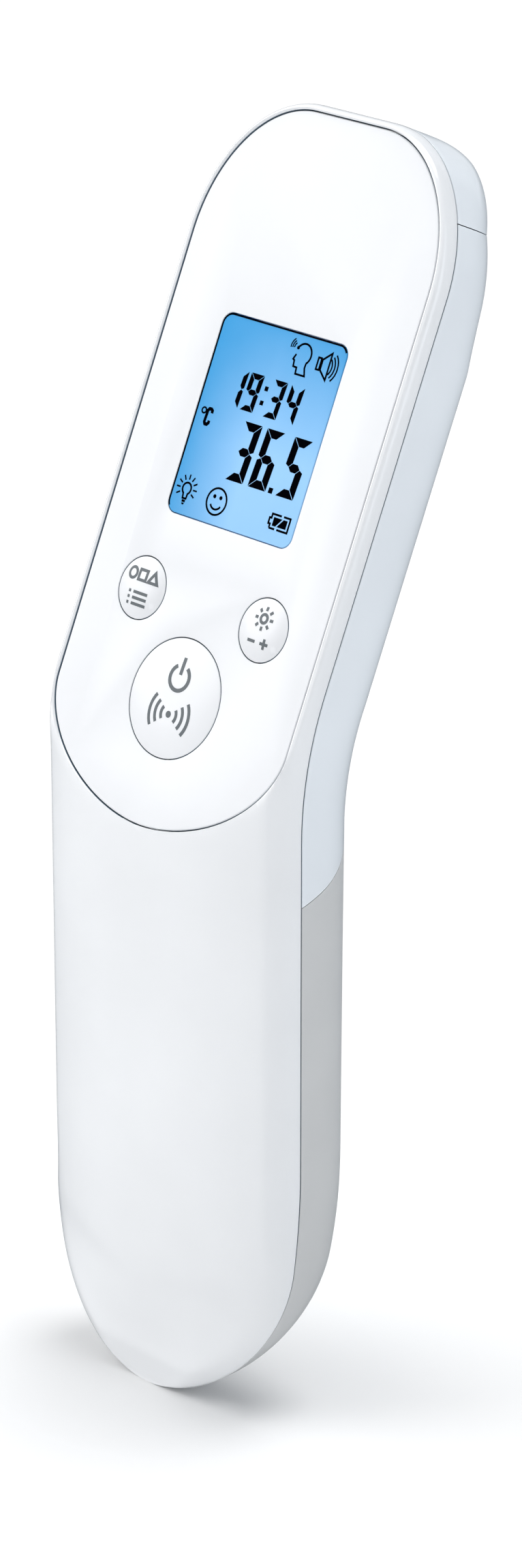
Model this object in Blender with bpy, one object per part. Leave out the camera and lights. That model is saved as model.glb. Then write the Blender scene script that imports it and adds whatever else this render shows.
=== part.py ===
"""Hand-held infrared thermometer: a bent stick with a display head, made of separate pieces.

Frame: X to the right, Y to the back, Z up along the grip. The origin is the middle of the grip,
on the plane where the front and rear shells meet. The head leans back by TILT. Head pieces are
placed in the face frame, whose x runs right, y up along the face and z out of it, with its
origin at the centre of the scan button on the face.

Lengths are in millimetres, and meshes are made in metres.
"""
import math

import bmesh
import bpy
from mathutils import Matrix, Vector

MM = 0.001
GAP = 0.3

# Body outline
TILT = math.radians(24.0)
HALF_WIDTH = 25.0
FACE_Y = -0.95
FACE_Z = 58.0
PARTING_DEPTH = 2.6
BEND_RADIUS = 52.0
GRIP_FRONT = 8.6
FRONT_POWER = 2.25
GRIP_BACK = 14.6
GRIP_TAPER = 0.01
HEAD_BACK = 15.3
CORNER_RADIUS = 10.8
WALL = 2.0
SLIT = 0.05

# Lower end of the grip: its sides, front and back round off over different lengths, and the
# parting line curves forward to the front surface
TIP = -48.4
SIDE_START = -24.0
SIDE_POWER = 1.89
TOE_START = -8.9
TOE_SHIFT = 7.74
TOE_POWER = 1.86
NOSE_START = -37.6
NOSE_POWER = 1.83
HEEL_START = -15.6
HEEL_POWER = 1.7

# Rounded upper end of the head, along the face
SHOULDER = 64.4
SHOULDER_RISE = 21.9
SHOULDER_RUN = 18.05
CROWN_START = 56.0
CROWN_DEPTH = 3.2
CROWN_POWER = 0.8
CROWN_FILLET = 2.5
CAP_SEAM = 75.0
CAP_SQUARING = 5.0
TOP = SHOULDER + SHOULDER_RISE

# Face panel and what lies in it
RIM_HEIGHT = 0.3
PANEL_HALF = 23.6
PANEL_THICK = 1.0
PANEL_TOP_RUN = 16.7
PANEL_TOP_RISE = 20.6
PANEL_TOE = 2.35
PANEL_TOE_RISE = 16.3
PANEL_TOE_POWER = 1.85
PLATE_BACK = -PARTING_DEPTH + GAP / 2
PLATE_FRONT = -PANEL_THICK - GAP
WINDOW_HALF = 12.5
WINDOW_LOW = 25.0
WINDOW_HIGH = 54.5
WINDOW_RADIUS = 1.7

# Buttons, in the face frame
SCAN_RADIUS = 8.7
SMALL_RADIUS = 4.57
SMALL_X = 12.5
SMALL_V = 13.65
BUTTON_DOME = 0.35
FLANGE_EXTRA = 1.1
FLANGE_TOP = -2.8
FLANGE_BOTTOM = -3.6
POST_BOTTOM = -3.9
POST_TIP_RADIUS = 1.6
SWITCH_HALF = 3.0
SWITCH_FRONT = -5.2
WELL_FLOOR = -6.8
PLUNGER_ROOM = 0.7

# Circuit board
PCB_FRONT = -7.5
PCB_BACK = -8.7
PCB_HALF = 20.5
PCB_LOW = -14.0
PCB_HIGH = 66.0

# Battery compartment
CELL_RADIUS = 5.25
CELL_LENGTH = 44.5
CELL_X = 6.0
CELL_Y = 5.0
BAY_LOW = -22.0
BAY_HIGH = 28.0
BAY_WALL = 1.2
BAY_HALF = 11.7
BAY_TOP = 5.5
BAY_RIB = 0.4
BAY_FLOOR = -1.7

# How far a cutter reaches past the whole object, and past the face panel
REACH = 60.0
THROUGH = 6.0

# Door seam: its height at the parting line, and how it rises towards the back
SEAM_SIDE = 33.0
SEAM_SLOPE = 0.25
SEAM_CURVE = 0.0225
REAR_LOW = 30.0

# Infrared sensor in the top end: its depth behind the face, and its opening
SENSOR_N = -7.2
APERTURE_RADIUS = 3.3

FRONT_STEPS = 16
CORNER_STEPS = 5
BEND_STEPS = 5
TIP_STEPS = 11
CROWN_STEPS = 7
PANEL_STEPS = 9


def clear_scene():
    for thing in list(bpy.data.objects):
        bpy.data.objects.remove(thing, do_unlink=True)


# ---------------------------------------------------------------- materials

def plastic(name, colour, roughness, metallic=0.0, transmission=0.0):
    material = bpy.data.materials.new(name)
    material.use_nodes = True
    shader = material.node_tree.nodes["Principled BSDF"]
    shader.inputs["Base Color"].default_value = (*colour, 1.0)
    shader.inputs["Roughness"].default_value = roughness
    shader.inputs["Metallic"].default_value = metallic
    shader.inputs["Transmission Weight"].default_value = transmission
    material.diffuse_color = (*colour, 1.0)
    return material


# ---------------------------------------------------------------- mesh helpers

def mesh_object(name, bm, material=None, parent=None, place=(0.0, 0.0, 0.0)):
    """Turns a bmesh in millimetres into an object in metres."""
    bmesh.ops.scale(bm, vec=(MM, MM, MM), verts=bm.verts)
    bmesh.ops.recalc_face_normals(bm, faces=bm.faces)
    mesh = bpy.data.meshes.new(name)
    bm.to_mesh(mesh)
    bm.free()
    mesh.shade_smooth()
    mesh.set_sharp_from_angle(angle=math.radians(30.0))
    thing = bpy.data.objects.new(name, mesh)
    bpy.context.collection.objects.link(thing)
    thing.parent = parent
    thing.location = Vector(place) * MM
    if material is not None:
        mesh.materials.append(material)
    else:
        thing.hide_render = True
        thing.display_type = "WIRE"
    return thing


def loft(rings):
    """A closed solid through rings that have equal numbers of points."""
    bm = bmesh.new()
    loops = [[bm.verts.new(point) for point in ring] for ring in rings]
    size = len(loops[0])
    for lower, upper in zip(loops, loops[1:]):
        for i in range(size):
            j = (i + 1) % size
            bm.faces.new((lower[i], lower[j], upper[j], upper[i]))
    bm.faces.new(loops[0])
    bm.faces.new(loops[-1])
    return bm


def prism(outline, low, high):
    return loft([[(x, y, z) for x, y in outline] for z in (low, high)])


def block(low, high):
    outline = [(low[0], low[1]), (high[0], low[1]), (high[0], high[1]), (low[0], high[1])]
    return prism(outline, low[2], high[2])


def circle(radius, steps, centre=(0.0, 0.0)):
    angles = [2.0 * math.pi * i / steps for i in range(steps)]
    return [(centre[0] + radius * math.cos(a), centre[1] + radius * math.sin(a)) for a in angles]


def rounded_rectangle(left, low, right, high, radius, steps=3):
    corners = [
        (right - radius, high - radius, 0.0),
        (left + radius, high - radius, 0.5 * math.pi),
        (left + radius, low + radius, math.pi),
        (right - radius, low + radius, 1.5 * math.pi),
    ]
    points = []
    for x, y, start in corners:
        for i in range(steps + 1):
            a = start + 0.5 * math.pi * i / steps
            points.append((x + radius * math.cos(a), y + radius * math.sin(a)))
    return points


def turned(profile, steps):
    """A solid of revolution about z. The profile's radii are all above zero."""
    return loft([[(x, y, height) for x, y in circle(radius, steps)] for radius, height in profile])


def turn_mesh(bm, matrix):
    bmesh.ops.transform(bm, matrix=matrix, verts=bm.verts)
    return bm


def join_meshes(parts):
    """Puts bmeshes that don't meet into one, for use as a cutter."""
    whole = bmesh.new()
    for part in parts:
        copy = bpy.data.meshes.new("part")
        part.to_mesh(copy)
        part.free()
        whole.from_mesh(copy)
        bpy.data.meshes.remove(copy)
    return whole


def combine(target, tool, operation):
    modifier = target.modifiers.new(operation.lower(), "BOOLEAN")
    modifier.operation = operation
    modifier.solver = "EXACT"
    modifier.object = tool


def cut(target, tool):
    combine(target, tool, "DIFFERENCE")


def fuse(target, tool):
    combine(target, tool, "UNION")


# ---------------------------------------------------------------- body sections

def spine_point(v):
    """The parting line on the head, at height v along the face: its y and z."""
    y = FACE_Y + v * math.sin(TILT) + PARTING_DEPTH * math.cos(TILT)
    z = FACE_Z + v * math.cos(TILT) - PARTING_DEPTH * math.sin(TILT)
    return y, z


BEND_V = -(FACE_Y + PARTING_DEPTH * math.cos(TILT)) / math.sin(TILT)
BEND_RUN = BEND_RADIUS * math.tan(TILT / 2.0)
BEND_START = spine_point(BEND_V)[1] - BEND_RUN
BEND_END_V = BEND_V + BEND_RUN


def section(y, z, lean, width, back, corner):
    front = (BEND_RADIUS + GRIP_FRONT) / math.cos(lean) - BEND_RADIUS
    return {"y": y, "z": z, "lean": lean, "width": width, "front": front, "back": back,
            "corner": corner}


def rounding(distance, length, power):
    """How much of a size is left at a distance into a rounded end of that length."""
    if distance <= 0.0:
        return 1.0
    return (1.0 - min(1.0, distance / length) ** power) ** (1.0 / power)


def grip_section(z):
    shift = TOE_SHIFT * (max(0.0, TOE_START - z) / (TOE_START - TIP)) ** TOE_POWER
    width = HALF_WIDTH * rounding(SIDE_START - z, SIDE_START - TIP, SIDE_POWER)
    back = GRIP_BACK - GRIP_TAPER * (BEND_START - z)
    back *= rounding(HEEL_START - z, HEEL_START - TIP, HEEL_POWER)
    part = section(-shift, z, 0.0, width, back, min(CORNER_RADIUS, 0.75 * back, 0.75 * width))
    part["front"] = (GRIP_FRONT - shift) * rounding(NOSE_START - z, NOSE_START - TIP, NOSE_POWER)
    return part


def bend_section(lean):
    y = BEND_RADIUS * (1.0 - math.cos(lean))
    z = BEND_START + BEND_RADIUS * math.sin(lean)
    back = GRIP_BACK + (HEAD_BACK - GRIP_BACK) * lean / TILT
    return section(y, z, lean, HALF_WIDTH, back, CORNER_RADIUS)


def head_section(v):
    y, z = spine_point(v)
    width = HALF_WIDTH
    back = HEAD_BACK
    if v > SHOULDER:
        rise = min(1.0, (v - SHOULDER) / SHOULDER_RISE)
        width -= SHOULDER_RUN * (1.0 - math.sqrt(1.0 - rise * rise))
    if v > CROWN_START:
        back -= CROWN_DEPTH * ((v - CROWN_START) / (TOP - CROWN_START)) ** CROWN_POWER
        into_fillet = v - (TOP - CROWN_FILLET)
        back -= CROWN_FILLET * (1.0 - rounding(into_fillet, CROWN_FILLET, 2.0))
    into_cap = max(0.0, v - CAP_SEAM) / (TOP - CAP_SEAM)
    corner = CORNER_RADIUS - CAP_SQUARING * into_cap
    return section(y, z, TILT, width, back, corner)


def grip_heights(low, high):
    """Section heights along the grip, closer together towards its lower end."""
    if low > TOE_START:
        return [low, high]
    end = math.asin((TOE_START - low) / (TOE_START - TIP))
    heights = [TOE_START - (TOE_START - TIP) * math.sin(end * i / TIP_STEPS)
               for i in range(TIP_STEPS, -1, -1)]
    return heights + [high]


def head_heights(low, high):
    """Section heights along the face, closer together towards the shoulders and the top."""
    heights = [low]
    if high > SHOULDER:
        first = max(low, CROWN_START)
        if first > low:
            heights.append(first)
        a0 = math.asin(max(0.0, (first - SHOULDER) / SHOULDER_RISE))
        a1 = math.asin(min(1.0, (high - SHOULDER) / SHOULDER_RISE))
        for i in range(CROWN_STEPS + 1):
            a = a0 + (a1 - a0) * i / CROWN_STEPS
            height = SHOULDER + SHOULDER_RISE * math.sin(a)
            if height > heights[-1] + 0.2:
                heights.append(height)
    else:
        heights.append(high)
    return heights


def front_profile(part, inset, flat):
    """The half section ahead of the parting plane, as x and distance ahead, from +x to -x."""
    width = max(0.5 * part["width"], part["width"] - inset)
    front = max(flat + SLIT, part["front"] - inset)
    points = []
    for i in range(FRONT_STEPS + 1):
        a = math.pi * i / FRONT_STEPS
        x = math.copysign(abs(math.cos(a)) ** (2.0 / FRONT_POWER), math.cos(a))
        points.append((width * x, flat + (front - flat) * math.sin(a) ** (2.0 / FRONT_POWER)))
    return points


def back_profile(part, inset, flat):
    """The half section behind the parting plane, as x and distance behind, from +x to -x."""
    width = max(0.5 * part["width"], part["width"] - inset)
    back = max(flat + SLIT, part["back"] - inset)
    corner = min(max(0.4, part["corner"] - inset), 0.9 * (back - flat))
    arc = []
    for i in range(CORNER_STEPS + 1):
        a = 0.5 * math.pi * i / CORNER_STEPS
        arc.append((width - corner + corner * math.cos(a), back - corner + corner * math.sin(a)))
    half = [(width, flat)] + arc
    return half + [(-x, behind) for x, behind in reversed(half)]


def plate_distance(part):
    """How far ahead of the parting line the back of the face plate lies, along a section."""
    depth = (part["z"] - FACE_Z) * math.sin(TILT) - (part["y"] - FACE_Y) * math.cos(TILT)
    return (PLATE_BACK - depth) / math.cos(TILT - part["lean"])


def front_shell(sections):
    """The shell ahead of the parting line: hollow in the grip, solid behind the face."""
    rings = []
    flat = GAP / 2
    for part in sections:
        outer = front_profile(part, 0.0, flat)
        ceiling = max(flat + SLIT, plate_distance(part))
        inner = [(x, min(ahead, ceiling)) for x, ahead in front_profile(part, WALL, flat)]
        rings.append([section_point(part, x, ahead) for x, ahead in outer + inner[::-1]])
    return body_solid(rings)


def back_shell(sections):
    """The shell behind the parting line."""
    rings = []
    flat = GAP / 2
    for part in sections:
        outline = back_profile(part, 0.0, flat) + back_profile(part, WALL, flat)[::-1]
        rings.append([section_point(part, x, -behind) for x, behind in outline])
    return body_solid(rings)


def section_point(part, x, ahead):
    y = part["y"] - ahead * math.cos(part["lean"])
    z = part["z"] + ahead * math.sin(part["lean"])
    return (x, y, z)


def grip_run(low, high):
    return [grip_section(z) for z in grip_heights(low, high)]


def bend_run():
    return [bend_section(TILT * i / BEND_STEPS) for i in range(BEND_STEPS + 1)]


def head_run(low, high):
    return [head_section(v) for v in head_heights(low, high)]


def back_block(sections, inset, flat):
    """The solid behind a plane at distance flat behind the parting line."""
    rings = []
    for part in sections:
        rings.append([section_point(part, x, -behind) for x, behind in back_profile(part, inset, flat)])
    return body_solid(rings)


def body_solid(rings):
    """A loft whose faces are all flat, even where the sections fan out round the bend."""
    bm = loft(rings)
    bmesh.ops.triangulate(bm, faces=bm.faces)
    return bm


def seam_height(y):
    return SEAM_SIDE + SEAM_SLOPE * y + SEAM_CURVE * y * y


def seam_side(above, gap):
    """A cutter for the side of the door seam that a shell leaves out, gap away from the seam."""
    edge = [(y, seam_height(y) + gap) for y in range(0, 17, 2)]
    edge = [(-REACH, edge[0][1])] + edge + [(REACH, edge[-1][1])]
    end = REACH if above else -2.0 * REACH
    outline = [(-REACH, end)] + edge + [(REACH, end)]
    return loft([[(x, y, z) for y, z in outline] for x in (-REACH, REACH)])


# ---------------------------------------------------------------- outlines on the face

def panel_outline(grow, steps):
    """The face panel's outline, counter-clockwise from its right side."""
    half = PANEL_HALF + grow
    points = []
    run = PANEL_TOP_RUN + grow
    rise = PANEL_TOP_RISE + grow
    for i in range(steps + 1):
        a = 0.5 * math.pi * i / steps
        points.append((half - run + run * math.cos(a), SHOULDER + rise * math.sin(a)))
    points += [(-x, v) for x, v in reversed(points)]
    for i in range(2 * steps + 1):
        a = math.pi * i / (2 * steps)
        x = math.copysign(abs(math.cos(a)) ** (2.0 / PANEL_TOE_POWER), math.cos(a))
        fall = (PANEL_TOE_RISE + grow) * math.sin(a) ** (2.0 / PANEL_TOE_POWER)
        points.append((-half * x, -PANEL_TOE - fall))
    return points


def window_outline(grow):
    return rounded_rectangle(-WINDOW_HALF - grow, WINDOW_LOW - grow, WINDOW_HALF + grow,
                             WINDOW_HIGH + grow, WINDOW_RADIUS + grow)


def button_places():
    """Each button's name, centre on the face, and radius."""
    return (("mode", -SMALL_X, SMALL_V, SMALL_RADIUS), ("light", SMALL_X, SMALL_V, SMALL_RADIUS),
            ("scan", 0.0, 0.0, SCAN_RADIUS))


def button_holes(low, high):
    return join_meshes([prism(circle(radius + GAP, 28, (x, v)), low, high)
                        for name, x, v, radius in button_places()])


# ---------------------------------------------------------------- casings

PCB_SCREWS = ((-17.5, 63.0), (17.5, 63.0), (-17.5, -4.0), (17.5, -4.0))
CRADLE_SCREWS = ((-17.0, 3.0), (17.0, 3.0))
REAR_SCREWS = ((-13.0, 34.5), (13.0, 34.5))
POST_RADIUS = 2.5
PILOT_RADIUS = 1.1
SHANK_RADIUS = 0.8
HEAD_RADIUS = 1.9
HEAD_HEIGHT = 1.3
SHANK_LENGTH = 5.0
SHORT_SHANK = 4.4
THREAD_DEPTH = 5.0
SHORT_THREAD_DEPTH = 2.9
CLEARANCE_RADIUS = 1.15
CRADLE_POST_START = -5.4
CRADLE_POST_TOP = BAY_FLOOR - GAP
REAR_POST_START = -6.8
TONGUE_FRONT = 8.2
TONGUE_BACK = 9.8
TONGUE_HALF = 16.0
TONGUE_LOW = 31.0
TONGUE_HIGH = 46.0
WEB_HALF = 12.0
WEB_LOW = 43.5
WEB_HIGH = 45.5
WEB_BACK = 13.6
OVERLAP = 0.4
POST_STEPS = 12
HOLE_STEPS = 8
TO_BACK = Matrix.Rotation(math.radians(-90.0), 4, "X")


def back_facing(bm, x, y, z):
    """Stands a mesh made along +Z up along +Y instead, at a place on the grip."""
    return turn_mesh(bm, Matrix.Translation((x, y, z)) @ TO_BACK)


def grip_posts(places, start, end, radius, steps):
    """Round bars along Y at places on the grip."""
    return [back_facing(prism(circle(radius, steps), start, end), x, 0.0, z) for x, z in places]


def face_posts(places, start, end, radius, steps):
    """Round bars along the face normal at places on the face."""
    return [prism(circle(radius, steps, place), start, end) for place in places]


def make_front_casing(face, material):
    whole = grip_run(TIP + 0.03, BEND_START)
    whole += bend_run()[1:-1] + head_run(BEND_END_V, TOP)
    casing = mesh_object("front_casing", front_shell(whole), material)
    posts = grip_posts(CRADLE_SCREWS, CRADLE_POST_START, CRADLE_POST_TOP, POST_RADIUS, POST_STEPS)
    posts += grip_posts(REAR_SCREWS, REAR_POST_START, TONGUE_FRONT - GAP, POST_RADIUS, POST_STEPS)
    fuse(casing, mesh_object("tool_grip_posts", join_meshes(posts)))
    posts = face_posts(PCB_SCREWS, PCB_FRONT + GAP, PLATE_BACK + OVERLAP, POST_RADIUS, POST_STEPS)
    fuse(casing, mesh_object("tool_face_posts", join_meshes(posts), parent=face))
    above_rim = block((-REACH, -REACH, RIM_HEIGHT), (REACH, 2.0 * REACH, REACH))
    cut(casing, mesh_object("cutter_face", above_rim, parent=face))
    recess = prism(panel_outline(GAP, PANEL_STEPS), PLATE_FRONT, THROUGH)
    cut(casing, mesh_object("cutter_recess", recess, parent=face))
    openings = [prism(window_outline(GAP), -THROUGH, THROUGH), button_holes(-THROUGH, THROUGH)]
    cut(casing, mesh_object("cutter_face_openings", join_meshes(openings), parent=face))
    pilots = grip_posts(CRADLE_SCREWS, CRADLE_POST_TOP - SHORT_THREAD_DEPTH, CRADLE_POST_TOP + 1.0,
                        PILOT_RADIUS, HOLE_STEPS)
    pilots += grip_posts(REAR_SCREWS, TONGUE_FRONT - THREAD_DEPTH, TONGUE_FRONT + 1.0,
                         PILOT_RADIUS, HOLE_STEPS)
    cut(casing, mesh_object("cutter_grip_pilots", join_meshes(pilots)))
    pilots = face_posts(PCB_SCREWS, PCB_FRONT - 1.0, PLATE_BACK - OVERLAP, PILOT_RADIUS, HOLE_STEPS)
    cut(casing, mesh_object("cutter_face_pilots", join_meshes(pilots), parent=face))


def make_rear_casing(material):
    outer = grip_run(REAR_LOW, BEND_START) + bend_run()[1:-1] + head_run(BEND_END_V, CAP_SEAM - GAP / 2)
    casing = mesh_object("rear_casing", back_shell(outer), material)
    cut(casing, mesh_object("cutter_below_seam", seam_side(False, GAP / 2)))
    tongue = block((-TONGUE_HALF, TONGUE_FRONT, TONGUE_LOW), (TONGUE_HALF, TONGUE_BACK, TONGUE_HIGH))
    fuse(casing, mesh_object("tool_tongue", tongue))
    web = block((-WEB_HALF, TONGUE_BACK - OVERLAP, WEB_LOW), (WEB_HALF, WEB_BACK, WEB_HIGH))
    fuse(casing, mesh_object("tool_tongue_web", web))
    holes = grip_posts(REAR_SCREWS, TONGUE_FRONT - 2.0, TONGUE_BACK + 2.0, CLEARANCE_RADIUS, HOLE_STEPS)
    cut(casing, mesh_object("cutter_tongue_holes", join_meshes(holes)))


def make_battery_door(material):
    outer = grip_run(TIP + 0.03, BEND_START) + bend_run()[1:3]
    door = mesh_object("battery_door", back_shell(outer), material)
    cut(door, mesh_object("cutter_above_seam", seam_side(True, -GAP / 2)))


def make_sensor_cover(face, material):
    whole = back_block(head_run(CAP_SEAM + GAP / 2, TOP), 0.0, GAP / 2)
    cover = mesh_object("sensor_cover", whole, material)
    hollow = back_block(head_run(CAP_SEAM - 1.0, TOP - WALL), WALL, -1.0)
    cut(cover, mesh_object("cutter_cover_hollow", hollow))
    aperture = up_face(prism(circle(APERTURE_RADIUS, 24), TOP - 2.0 * WALL, TOP + WALL), SENSOR_N)
    cut(cover, mesh_object("cutter_aperture", aperture, parent=face))


def up_face(bm, n):
    """Lays a mesh made along +Z along the face's own upward direction, at depth n."""
    return turn_mesh(bm, Matrix.Translation((0.0, 0.0, n)) @ TO_BACK)


# ---------------------------------------------------------------- face pieces

def make_face_panel(face, material):
    sheet = prism(panel_outline(0.0, PANEL_STEPS), -PANEL_THICK, 0.0)
    panel = mesh_object("face_panel", sheet, material, face)
    openings = [prism(window_outline(GAP), -THROUGH, THROUGH), button_holes(-THROUGH, THROUGH)]
    cut(panel, mesh_object("cutter_panel_openings", join_meshes(openings), parent=face))


def make_display_window(face, material):
    mesh_object("display_window", prism(window_outline(0.0), PLATE_BACK, 0.0), material, face)


def make_button(face, name, x, v, radius, material):
    flange = radius + FLANGE_EXTRA
    profile = [(POST_TIP_RADIUS, POST_BOTTOM), (POST_TIP_RADIUS, FLANGE_BOTTOM),
               (flange, FLANGE_BOTTOM), (flange, FLANGE_TOP), (radius, FLANGE_TOP), (radius, 0.0),
               (0.9 * radius, 0.6 * BUTTON_DOME), (0.55 * radius, BUTTON_DOME)]
    mesh_object(name + "_button", turned(profile, 28), material, face, (x, v, 0.0))


def make_switch(face, name, x, v, body_material, plunger_material):
    half = SWITCH_HALF
    body = block((-half, -half, PCB_FRONT + GAP), (half, half, SWITCH_FRONT))
    switch = mesh_object(name + "_switch", body, body_material, face, (x, v, 0.0))
    hole = prism(circle(POST_TIP_RADIUS + OVERLAP, 12), WELL_FLOOR, SWITCH_FRONT + 1.0)
    cut(switch, mesh_object("cutter_" + name + "_well", hole, parent=face, place=(x, v, 0.0)))
    plunger = prism(circle(POST_TIP_RADIUS, 12), WELL_FLOOR + PLUNGER_ROOM, POST_BOTTOM - GAP)
    mesh_object(name + "_plunger", plunger, plunger_material, face, (x, v, 0.0))


# ---------------------------------------------------------------- display and board

def frame_body(outer, inner, low, high):
    """A closed frame between two outlines with equal numbers of points."""
    bm = bmesh.new()
    loops = []
    for outline, height in ((outer, low), (outer, high), (inner, high), (inner, low)):
        loops.append([bm.verts.new((x, y, height)) for x, y in outline])
    count = len(outer)
    for first, second in zip(loops, loops[1:] + loops[:1]):
        for i in range(count):
            j = (i + 1) % count
            bm.faces.new((first[i], first[j], second[j], second[i]))
    return bm


def make_display(face, looks):
    mesh_object("lcd_glass", block((-15.5, 21.5, -4.9), (15.5, 58.0, -2.9)), looks["lcd"], face)
    outer = rounded_rectangle(-17.0, 20.0, 17.0, 59.5, 1.5)
    inner = rounded_rectangle(-15.8, 21.2, 15.8, 58.3, 0.4)
    mesh_object("lcd_frame", frame_body(outer, inner, PCB_FRONT + GAP, -2.9), looks["frame"], face)
    on_board = PCB_FRONT + GAP
    guide = block((-14.5, 24.5, on_board), (14.5, 56.0, -5.2))
    mesh_object("backlight_guide", guide, looks["guide"], face)
    strip = block((-13.0, 21.8, on_board), (13.0, 24.1, -5.2))
    mesh_object("zebra_connector", strip, looks["rubber"], face)
    light = block((-1.5, 56.4, on_board), (1.5, 57.8, -5.6))
    mesh_object("backlight_led", light, looks["led"], face)


def make_board(face, looks):
    outline = rounded_rectangle(-PCB_HALF, PCB_LOW, PCB_HALF, PCB_HIGH, 3.0)
    board = mesh_object("main_pcb", prism(outline, PCB_BACK, PCB_FRONT), looks["board"], face)
    holes = face_posts(PCB_SCREWS, PCB_BACK - 1.0, PCB_FRONT + 1.0, CLEARANCE_RADIUS, 8)
    cut(board, mesh_object("cutter_board_holes", join_meshes(holes), parent=face))
    behind = PCB_BACK - GAP
    mesh_object("mcu_chip", block((-5.0, 27.0, behind - 1.5), (5.0, 37.0, behind)), looks["chip"], face)
    can = prism(rounded_rectangle(8.5, 14.0, 12.0, 22.0, 1.6), behind - 2.5, behind)
    mesh_object("crystal", can, looks["steel"], face)
    sounder = turned([(5.6, behind - 4.0), (6.0, behind - 3.6), (6.0, behind)], 20)
    mesh_object("buzzer", sounder, looks["chip"], face, (-9.0, 4.0, 0.0))


def make_sensor(face, looks):
    """The infrared sensor group, which looks out of the top end of the head."""
    def along(name, bm, look):
        mesh_object(name, up_face(bm, SENSOR_N), looks[look], face)

    along("sensor_ring", frame_body(circle(3.0, 20), circle(2.3, 20), TOP - 1.9, TOP - 0.3), "steel")
    along("sensor_window", prism(circle(2.0, 20), TOP - 1.6, TOP - 1.1), "lens")
    inner_top = TOP - WALL - GAP
    gasket = frame_body(circle(4.3, 20), circle(2.6, 20), inner_top - 1.2, inner_top)
    along("sensor_gasket", gasket, "rubber")
    barrel_top = inner_top - 1.2 - GAP
    along("sensor_barrel", frame_body(circle(4.3, 20), circle(3.1, 20), 71.8, barrel_top), "brass")
    along("thermopile", turned([(2.7, 72.0), (2.7, 72.6), (2.3, 72.6), (2.3, 75.6)], 20), "steel")
    mesh_object("sensor_board", block((-6.0, 70.2, -12.0), (6.0, 71.4, -3.2)), looks["board"], face)


# ---------------------------------------------------------------- battery compartment

PLATE_THICK = 0.3
TOP_PLATE = BAY_HIGH - GAP - PLATE_THICK
LOW_PLATE = BAY_LOW + GAP
NUB_LENGTH = 0.8
TAIL_HALF = 0.7


def tube(points, radius, sides):
    """A round tube along a list of points."""
    rings = []
    normal = None
    for i, point in enumerate(points):
        ahead = points[min(i + 1, len(points) - 1)] - points[max(i - 1, 0)]
        ahead.normalize()
        if normal is None:
            normal = ahead.orthogonal()
        normal = (normal - ahead * normal.dot(ahead)).normalized()
        side = ahead.cross(normal)
        ring = []
        for k in range(sides):
            a = 2.0 * math.pi * k / sides
            ring.append(point + (normal * math.cos(a) + side * math.sin(a)) * radius)
        rings.append(ring)
    return loft(rings)


def coil(x, low, high, wide_end, turns=3.0, steps=10):
    """A conical contact spring about a vertical axis, from its wide end to the cell."""
    points = []
    wire = 0.35
    count = int(turns * steps)
    for i in range(count + 1):
        t = i / count
        a = 2.0 * math.pi * turns * t
        radius = 3.8 - 1.4 * (1.0 - t if wide_end == "high" else t)
        z = low + wire + (high - low - 2.0 * wire) * t
        points.append(Vector((x + radius * math.cos(a), CELL_Y + radius * math.sin(a), z)))
    return tube(points, wire, 6)


def cell(nub_up):
    half = CELL_LENGTH / 2.0
    profile = [(CELL_RADIUS - 0.4, -half), (CELL_RADIUS, -half + 0.4),
               (CELL_RADIUS, half - NUB_LENGTH - 0.4), (CELL_RADIUS - 0.4, half - NUB_LENGTH),
               (1.9, half - NUB_LENGTH), (1.9, half)]
    bm = turned(profile, 24)
    if not nub_up:
        turn_mesh(bm, Matrix.Rotation(math.pi, 4, "X"))
    return bm


def contact_plate(x, low):
    """A flat contact at the top of the bay, with a tail through the floor for its lead."""
    foot = -0.2
    tail = BAY_FLOOR - 0.9
    outline = [(x - 4.0, foot), (x - TAIL_HALF, foot), (x - TAIL_HALF, tail), (x + TAIL_HALF, tail),
               (x + TAIL_HALF, foot), (x + 4.0, foot), (x + 4.0, 7.0), (x - 4.0, 7.0)]
    return prism(outline, low, low + PLATE_THICK)


def make_cradle(looks):
    outer = BAY_HALF + BAY_WALL
    floor_top = BAY_FLOOR + BAY_WALL
    tray = block((-outer, BAY_FLOOR, BAY_LOW - BAY_WALL), (outer, BAY_TOP, BAY_HIGH + BAY_WALL))
    cradle = mesh_object("battery_cradle", tray, looks["cradle"])
    ears = block((-20.5, BAY_FLOOR, 0.0), (20.5, floor_top, 6.0))
    fuse(cradle, mesh_object("tool_cradle_ears", ears))
    pockets = [block((-BAY_HALF, floor_top, BAY_LOW), (-BAY_RIB, 20.0, BAY_HIGH)),
               block((BAY_RIB, floor_top, BAY_LOW), (BAY_HALF, 20.0, BAY_HIGH))]
    cut(cradle, mesh_object("cutter_pockets", join_meshes(pockets)))
    notch = block((-1.0, floor_top, BAY_LOW), (1.0, 20.0, LOW_PLATE + PLATE_THICK + GAP))
    cut(cradle, mesh_object("cutter_bridge_notch", notch))
    slots = [block((x - 1.0, BAY_FLOOR - 2.0, TOP_PLATE - GAP), (x + 1.0, floor_top + 1.0, BAY_HIGH))
             for x in (-CELL_X, CELL_X)]
    slots += grip_posts(CRADLE_SCREWS, BAY_FLOOR - 2.0, floor_top + 2.0, CLEARANCE_RADIUS, 8)
    cut(cradle, mesh_object("cutter_cradle_openings", join_meshes(slots)))


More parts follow.
